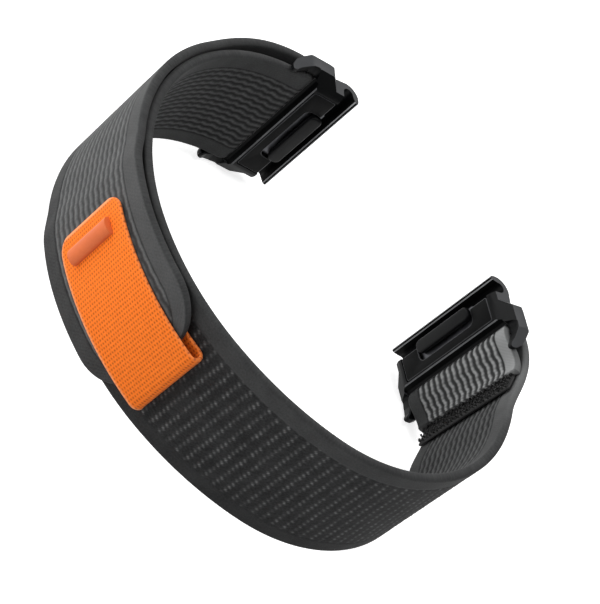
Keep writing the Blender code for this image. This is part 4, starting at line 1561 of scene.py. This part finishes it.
@dataclass
class Connector:
    """A hook connector: housing with ears, cover, latch button, spring bar."""

    side: Side
    place: Matrix
    sizes: Sizes = Sizes()

    def finish(self, made: bpy.types.Object, body: str, slot: str, *nodes: str) -> bpy.types.Object:
        """Args:
            made: The piece, in the connector's frame.
            body: The body that it rides on.
            slot: The record's material slot; not used.
            nodes: The CAD nodes that it stands for.

        Returns:
            The piece.
        """
        made.data.transform(self.place)
        if self.place.determinant() < 0:
            only(made)
            edit(lambda: bpy.ops.mesh.flip_normals())
        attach(made, body)
        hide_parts(*nodes)
        return made

    def outline(self) -> list[tuple[float, float]]:
        """Draws the housing's section.

        Returns:
            Points round the hook, shoulder, wall round the fold, wrist face and channel.
        """
        s = self.sizes
        hook = (s.to_lip - s.hook_back, -s.hook_below)
        outer_turn = math.degrees(s.lip_edge / s.hook_radius) - s.hook_tip_turn
        points = arc(hook, s.hook_radius - s.lip_edge, -s.hook_tip_turn, -s.hook_tip_turn, 1)[:1]
        points += arc(hook, s.hook_radius, outer_turn, 90.0, 24)
        points.append((s.ear_front, s.shoulder))
        start = math.degrees(math.asin(s.top_rear / s.wall))
        end = -math.degrees(math.acos(s.rear / s.wall))
        points += arc((0.0, 0.0), s.wall, start, end, 12)
        points.append((s.rear - s.sill, -s.face + s.groove_depth + s.edge))
        wrist_side = [
            (s.rear, -s.face + s.groove_depth),
            (s.rear + s.groove - s.edge / 2, -s.face + s.edge),
            (s.rear + s.groove + s.edge, -s.face),
            (s.front, -s.face),
            (s.front, s.face),
            (s.rear, s.face),
        ]
        points += wrist_side[:3] + rounded(wrist_side, s.step_round)[21:28]  # the step's front corner
        slot = s.channel / 2
        points += arc((s.front + slot, -s.channel_below - slot), slot, 180.0, 0.0, 16)
        inner = s.hook_radius - s.lip
        points += arc(hook, inner, outer_turn, outer_turn, 1)[:1]
        points += arc(hook, inner + s.lip_edge, -s.hook_tip_turn, -s.hook_tip_turn, 1)[:1]
        return points

    def ear(self, sign: int) -> bpy.types.Object:
        """Makes an ear with its tail behind the bar.

        Args:
            sign: 1 for the ear that lies ahead across in the connector's frame, -1 for the other.

        Returns:
            The ear. Its corners are shares of its reach, from the front over the top to the foot.
        """
        s = self.sizes
        corners = [
            (s.ear_front, s.shoulder),
            (s.ear_front * 0.6, s.ear_top),
            (0.0, s.ear_top * 0.95),
            (-s.ear_rear * 0.42, s.ear_top * 0.10),
            (-s.ear_rear * 0.80, -s.ear_drop * 0.28),
            (-s.ear_rear, -s.ear_drop * 0.70),
            (-s.ear_rear * 0.97, -s.ear_drop),
            (-s.ear_rear * 0.78, -s.ear_drop),
            (-s.ear_rear * 0.50, -s.ear_drop * 0.76),
            (-s.ear_rear * 0.03, -s.ear_drop * 0.53),
            (s.rear * 0.7, -s.ear_drop * 0.42),
            (s.rear, -s.face),
            (s.ear_front, -s.face),
        ]
        ends = sorted((sign * s.ear_inner, sign * s.ear_half))
        return extruded("ear", rounded(corners, s.ear_round), ends[0], ends[1])

    def housing(self) -> bpy.types.Object:
        """Makes the black housing with its ears in one piece.

        Returns:
            The housing, which rides on the connector.
        """
        s = self.sizes
        body = extruded(f"{self.side.name}_housing", self.outline(), -s.body_half, s.body_half)
        more = s.overrun
        for sign in (-1, 1):
            ear = self.ear(sign)
            soften(ear, s.ear_edge, 60.0, 4)
            combine(body, ear, "UNION")
        for sign in (-1, 1):
            corner = s.ear_half - s.chamfer
            deep = s.chamfer + more
            slope = s.chamfer_rise / s.chamfer
            section = [
                (-s.face, sign * corner),
                (-s.face + slope * deep, sign * (corner + deep)),
                (-s.face - more, sign * (corner + deep)),
                (-s.face - more, sign * corner),
            ]
            combine(body, extruded("cutter", section, s.rear / 2, s.front + s.channel / 2, "X"), "DIFFERENCE")
            over = s.ear_half - s.body_half + more
            front = [
                (s.ear_front, sign * s.body_half),
                (s.ear_front - over, sign * (s.body_half + over)),
                (s.ear_front + more, sign * (s.body_half + over)),
                (s.ear_front + more, sign * s.body_half),
            ]
            combine(body, extruded("cutter", front, -s.face - more, s.ear_top + more, "Y"), "DIFFERENCE")
            rear = s.ear_rear + s.ear_tail_start
            past = 1 + more / rear
            tail = [
                (s.ear_tail_start, sign * s.ear_half),
                (s.ear_tail_start - rear * past, sign * (s.ear_half - s.ear_tail_narrowing * past)),
                (s.ear_tail_start - rear * past, sign * (s.ear_half + more)),
                (s.ear_tail_start, sign * (s.ear_half + more)),
            ]
            combine(body, extruded("cutter", tail, -s.face - more, s.ear_top + more, "Y"), "DIFFERENCE")
        half = s.ear_half - s.chamfer - s.side_rim
        recess = [
            (s.rear + s.rear_rim, -half),
            (s.front + more, -half),
            (s.front + more, half),
            (s.rear + s.rear_rim, half),
        ]
        cutter = extruded("cutter", rounded(recess, s.recess_round), -s.face - more, s.floor, "Y")
        combine(body, cutter, "DIFFERENCE")
        self.tint(body)
        self.hollow(body)
        name = self.side.name
        return self.finish(body, f"{name}_connector", "black_case_metal", f"{name}_frame")

    def tint(self, body: bpy.types.Object) -> None:
        """Gives the housing its finishes: painted light on its end faces, painted highlights on edges and the
        lip's chamfers, painted shade on inner faces.

        Args:
            body: The housing, before its pocket is cut.
        """
        s = self.sizes
        finishes = (
            Finish.COATED_METAL,
            Finish.COATED_WORN_EDGE,
            Finish.COATED_CUT_END,
            Finish.COATED_LIP_EDGE,
            Finish.COATED_PLATE,
        )
        paint(body, *finishes)
        # Indices: painted highlight on edges, painted light on end faces, painted highlight on the lip's
        # chamfers, painted shade inside.
        edge_highlight, cut, lip, inner = range(1, len(finishes))
        for face in body.data.polygons:
            x, y = face.center.x, face.center.y
            turned = face.normal
            outermost = abs(face.center.z) > s.body_half - s.clear
            at_groove = s.rear - s.sill - s.edge < x < s.rear + s.groove + s.edge and y < -s.face / 2
            if abs(turned.z) > 0.3 and outermost and turned.y > -0.5:
                # painted light: the end faces at the housing's ends get a paler finish, for the light from
                # above
                face.material_index = cut
            elif x > s.to_lip - 1.5 * s.lip and y < -s.hook_below - 0.8 * s.lip and turned.y < -0.4:
                # painted highlight on the lip's chamfers, painted shade on its end face
                face.material_index = lip if turned.y > -0.92 else inner
            elif x > s.front + s.channel and y < -s.channel_below and turned.x < -0.8:
                # painted shade inside the channel
                face.material_index = inner
            elif at_groove and turned.x < -0.1:
                at_edge = x > s.rear + s.groove - s.edge and turned.y < -0.6
                # painted highlight on the groove's front edge, painted shade on the rest of the groove
                face.material_index = edge_highlight if at_edge else inner

    def hollow(self, body: bpy.types.Object) -> None:
        """Cuts the latch's pocket, its teeth's windows and the bar's bores.

        Args:
            body: The housing.
        """
        s = self.sizes
        inside = (s.pocket_rear, s.front - s.front_wall)
        pocket = box("cutter", inside, (-s.face, -s.pocket_top), (-s.pocket_half, s.pocket_half))
        combine(body, pocket, "DIFFERENCE")
        for sign in (-1, 1):
            across = sign * s.tooth_pitch / 2
            wide = s.tooth / 2 + s.clear
            low = s.tooth_low - s.clear
            high = s.tooth_low + s.tooth_depth + s.clear
            through = (s.front - s.front_wall - s.overrun, s.front + s.overrun)
            window = box("cutter", through, (low, high), (across - wide, across + wide))
            combine(body, window, "DIFFERENCE")
        only(body)
        depth = 2 * (s.ear_inner + s.tip_into_ear + s.fit)
        bpy.ops.mesh.primitive_cylinder_add(vertices=24, radius=s.tip_radius + s.fit, depth=depth)
        combine(body, bpy.context.object, "DIFFERENCE")
        only(body)
        bpy.ops.object.shade_smooth_by_angle(angle=math.radians(30.0))

    def cover(self) -> bpy.types.Object:
        """Makes the inset plate, with the button's slot open at its front.

        Returns:
            The plate, which rides on the connector.
        """
        s = self.sizes
        half = s.ear_half - s.chamfer - s.side_rim - s.fit
        rear = s.rear + s.rear_rim + s.fit
        front = s.front - s.fit
        plate = rounded([(rear, -half), (front, -half), (front, half), (rear, half)], s.cover_round)
        name = self.side.name
        made = extruded(f"{name}_cover", plate, -s.face, -s.face + s.cover, "Y")
        back = s.front + s.button_over - s.button_width - s.travel - s.clear
        long = s.button_length / 2 + s.clear
        past = s.front + s.button_width
        slot = rounded([(back, -long), (past, -long), (past, long), (back, long)], s.button_width / 2)
        cutter = extruded("cutter", slot, -s.face - s.overrun, -s.face + s.cover + s.overrun, "Y")
        combine(made, cutter, "DIFFERENCE")
        # painted highlight: the plate's broken edges get a paler finish
        paint(made, Finish.COATED_PLATE, Finish.COATED_PLATE_EDGE)
        soften(made, s.edge, edge=1)
        return self.finish(made, f"{name}_connector", "black_case_metal", f"{name}_inner_cover")

    def button(self) -> bpy.types.Object:
        """Makes the pill-shaped button, with its edge broken all round.

        Returns:
            The button, which rides on the latch.
        """
        s = self.sizes
        front = s.front + s.button_over
        rear = front - s.button_width
        half = s.button_length / 2
        pill = rounded([(rear, -half), (front, -half), (front, half), (rear, half)], s.button_width / 2, 10)
        name = self.side.name
        made = extruded(f"{name}_button", pill, -s.face - s.button_proud, -s.face + s.cover, "Y")
        paint(made, Finish.COATED_METAL)
        soften(made, s.button_edge, 60.0, 4)
        return self.finish(made, f"{name}_latch", "black_case_metal", f"{name}_release_button")

    def rod(self, name: str, radius: float, start: float, end: float, sides: int) -> bpy.types.Object:
        """Makes a round rod across the connector.

        Args:
            name: The piece's name.
            radius: Its radius.
            start: Where it starts across.
            end: Where it ends.
            sides: Points round it.

        Returns:
            The rod, with its edges broken.
        """
        bpy.ops.object.select_all(action="DESELECT")
        bpy.ops.mesh.primitive_cylinder_add(vertices=sides, radius=radius, depth=abs(end - start))
        made = bpy.context.object
        made.data.transform(Matrix.Translation((0.0, 0.0, (start + end) / 2)))
        made.name = name
        paint(made, Finish.BRIGHT_STEEL)
        soften(made, self.sizes.steel_edge)
        return made

    @property
    def ends(self) -> list[tuple[str, int]]:
        """The bar's ends by name, with the way across to each in the connector's frame."""
        up = 1 if self.place[2][2] > 0 else -1
        return [("upper", up), ("lower", -up)]

    def bar(self) -> list[bpy.types.Object]:
        """Makes the spring bar.

        Returns:
            Its tube and its two tips.
        """
        s = self.sizes
        name = self.side.name
        tube = self.rod(f"{name}_bar_sleeve", s.bar_radius, -s.tube_half, s.tube_half, 40)
        pieces = [self.finish(tube, f"{name}_connector", "bar_steel", f"{name}_spring_bar_tube")]
        start, end = s.tube_half - s.pin_inside, s.ear_inner + s.tip_into_ear
        for place, way in self.ends:
            pin = self.rod(f"{name}_bar_pin_{place}", s.tip_radius, way * start, way * end, 24)
            pieces.append(self.finish(pin, f"{name}_tip_{place}", "bar_steel", f"{name}_bar_tip_{place}"))
        return pieces

    def squeeze(self, made: bpy.types.Object) -> None:
        """Gives a spring a mesh of its own.

        Args:
            made: The spring.
        """
        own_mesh(made)

    def springs(self) -> list[bpy.types.Object]:
        """Winds the connector's springs.

        Returns:
            Two coils behind the latch plate, and one for each tip of the bar.
        """
        s = self.sizes
        name = self.side.name
        pieces = []
        start = s.pocket_rear + s.fit
        end = s.front - s.front_wall - s.slide - s.latch_length + s.spring_seat - s.fit
        wire = s.wire
        for key, sign in (("a", -1), ("b", 1)):
            made = coil(f"{name}_latch_coil_{key}", s.spring_radius, wire, start + wire, end - wire, 4)
            paint(made, Finish.BRIGHT_STEEL)
            made.data.transform(Matrix.Rotation(math.radians(90.0), 4, "Y"))
            seat = Vector((start, s.floor + s.fit / 2 + s.latch_depth / 2, sign * s.spring_pitch / 2))
            made.data.transform(Matrix.Translation((0.0, seat.y, seat.z)))
            node_name = f"{name}_latch_spring_{key}"
            self.finish(made, f"{name}_connector", "spring_steel", node_name)
            self.squeeze(made)
            pieces.append(made)
        reach = s.tube_half - s.pin_inside - s.fit
        for place, way in self.ends:
            made = coil(f"{name}_bar_coil_{place}", s.tip_radius + wire, wire, wire, reach - wire, 18)
            paint(made, Finish.BRIGHT_STEEL)
            if way < 0:
                made.data.transform(Matrix.Rotation(math.pi, 4, "X"))
            self.finish(made, f"{name}_connector", "spring_steel", f"{name}_bar_spring")
            self.squeeze(made)
            pieces.append(made)
        return pieces

    def build(self) -> list[bpy.types.Object]:
        """Every piece of the connector."""
        return [self.housing(), self.cover(), self.button(), *self.bar(), *self.springs()]


@dataclass
class Studio:
    """Pale floor, soft light and the photograph's camera."""

    eye: tuple[float, float, float] = (-5.4 * MM, -211.6 * MM, 190.6 * MM)
    right: tuple[float, float, float] = (0.637, 0.443, 0.631)
    up: tuple[float, float, float] = (-0.771, 0.391, 0.503)
    lens: float = 124.4
    lamp_size: float = 0.30
    world_light: float = 0.3
    paper_light: float = 0.72  # brings the paper to white where the camera sees it

    def camera(self, shift: tuple[float, float]) -> None:
        """Places the camera that was fitted to the photograph.

        Args:
            shift: How far the strap was moved after the fit.
        """
        data = bpy.data.cameras.new("photo_camera")
        data.lens = self.lens
        data.sensor_width = 36.0
        data.sensor_fit = "AUTO"
        data.clip_start = 0.01
        data.clip_end = 10.0
        made = bpy.data.objects.new("photo_camera", data)
        bpy.context.scene.collection.objects.link(made)
        right = Vector(self.right).normalized()
        back = right.cross(Vector(self.up)).normalized()
        up = back.cross(right).normalized()
        turn = Matrix((right, up, back)).transposed().to_4x4()
        turn.translation = Vector(self.eye) + Vector((shift[0], shift[1], 0.0))
        made.matrix_world = turn
        bpy.context.scene.camera = made

    def lamp(self, name: str, place: Sequence[float], power: float) -> None:
        """Hangs a square soft box that faces the strap.

        Args:
            name: The lamp's name.
            place: Where it hangs.
            power: Its power in watts.
        """
        data = bpy.data.lights.new(name, "AREA")
        data.size = self.lamp_size
        data.energy = power
        made = bpy.data.objects.new(name, data)
        bpy.context.scene.collection.objects.link(made)
        made.location = place
        aim = Vector((0.0, 0.0, 0.013)) - Vector(place)
        made.rotation_euler = aim.to_track_quat("-Z", "Y").to_euler()

    def floor(self) -> None:
        """A pale floor that stays white where the camera looks past the shadow."""
        bpy.ops.object.select_all(action="DESELECT")
        bpy.ops.mesh.primitive_plane_add(size=6.0, location=(0.0, 0.0, -0.0002))
        made = bpy.context.object
        made.name = "studio_floor"
        surface, tree, shader = fresh("floor_paper", {"Roughness": 0.9})
        shader.inputs["Base Color"].default_value = linear("#F4F4F4")
        ray = node(tree, "ShaderNodeLightPath").outputs
        either = {"operation": "MAXIMUM"}
        seen = ray["Is Camera Ray"]
        for kind in ("Is Glossy Ray", "Is Transmission Ray"):
            seen = node(tree, "ShaderNodeMath", either, i0=seen, i1=ray[kind]).outputs[0]
        share = {"operation": "MULTIPLY", 1: self.paper_light}
        glow = node(tree, "ShaderNodeMath", share, i0=seen).outputs[0]
        white = node(tree, "ShaderNodeEmission", Strength=glow).outputs[0]
        both = node(tree, "ShaderNodeAddShader", i0=shader.outputs[0], i1=white).outputs[0]
        tree.links.new(both, tree.nodes["Material Output"].inputs["Surface"])
        made.data.materials.append(surface)

    def world(self) -> None:
        """Even pale light from all round."""
        world = bpy.data.worlds.new("studio_world")
        bpy.context.scene.world = world
        world.use_nodes = True
        sky = world.node_tree.nodes["Background"].inputs
        sky["Color"].default_value = (1, 1, 1, 1)
        sky["Strength"].default_value = self.world_light

    def build(self, shift: tuple[float, float]) -> None:
        """Sets up camera, lamps, floor and world.

        Args:
            shift: How far the strap was moved after the camera was fitted.
        """
        self.camera(shift)
        self.world()
        self.floor()
        self.lamp("top_box", (0.01, 0.0, 0.50), 0.8)
        self.lamp("side_box", (-0.476, 0.0, 0.155), 1.55)
        self.lamp("front_box", (-0.238, -0.412, 0.155), 0.85)
        self.lamp("back_box", (0.0, 0.321, 0.383), 1.0)
        bpy.context.scene.view_settings.view_transform = "Standard"


def dress(nodes: dict[str, bpy.types.Object]) -> None:
    """Gives the latch plates their finish; they are the CAD nodes that stay in sight.

    Args:
        nodes: The CAD nodes, by name.
    """
    for name, made in nodes.items():
        if name.endswith("latch_plate"):
            made.data.materials.clear()
            paint(made, Finish.STAMPED_STEEL)


def main() -> None:
    """Builds the strap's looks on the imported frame."""
    logging.basicConfig(level=logging.INFO, format="%(message)s")
    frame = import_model()
    layout = Layout()
    layout.settle(frame["joints"])
    dress(frame["nodes"])
    connectors = [Connector(side, layout.bar_frame(side)) for side in (layout.left, layout.right)]
    for part in (Band(layout), PullTab(layout), *hook_tapes(layout), *connectors):
        for piece in part.build():
            LOG.info("%s: %d faces", piece.name, len(piece.data.polygons))
    Studio().build(layout.right.shift)


if __name__ == "__main__":
    main()
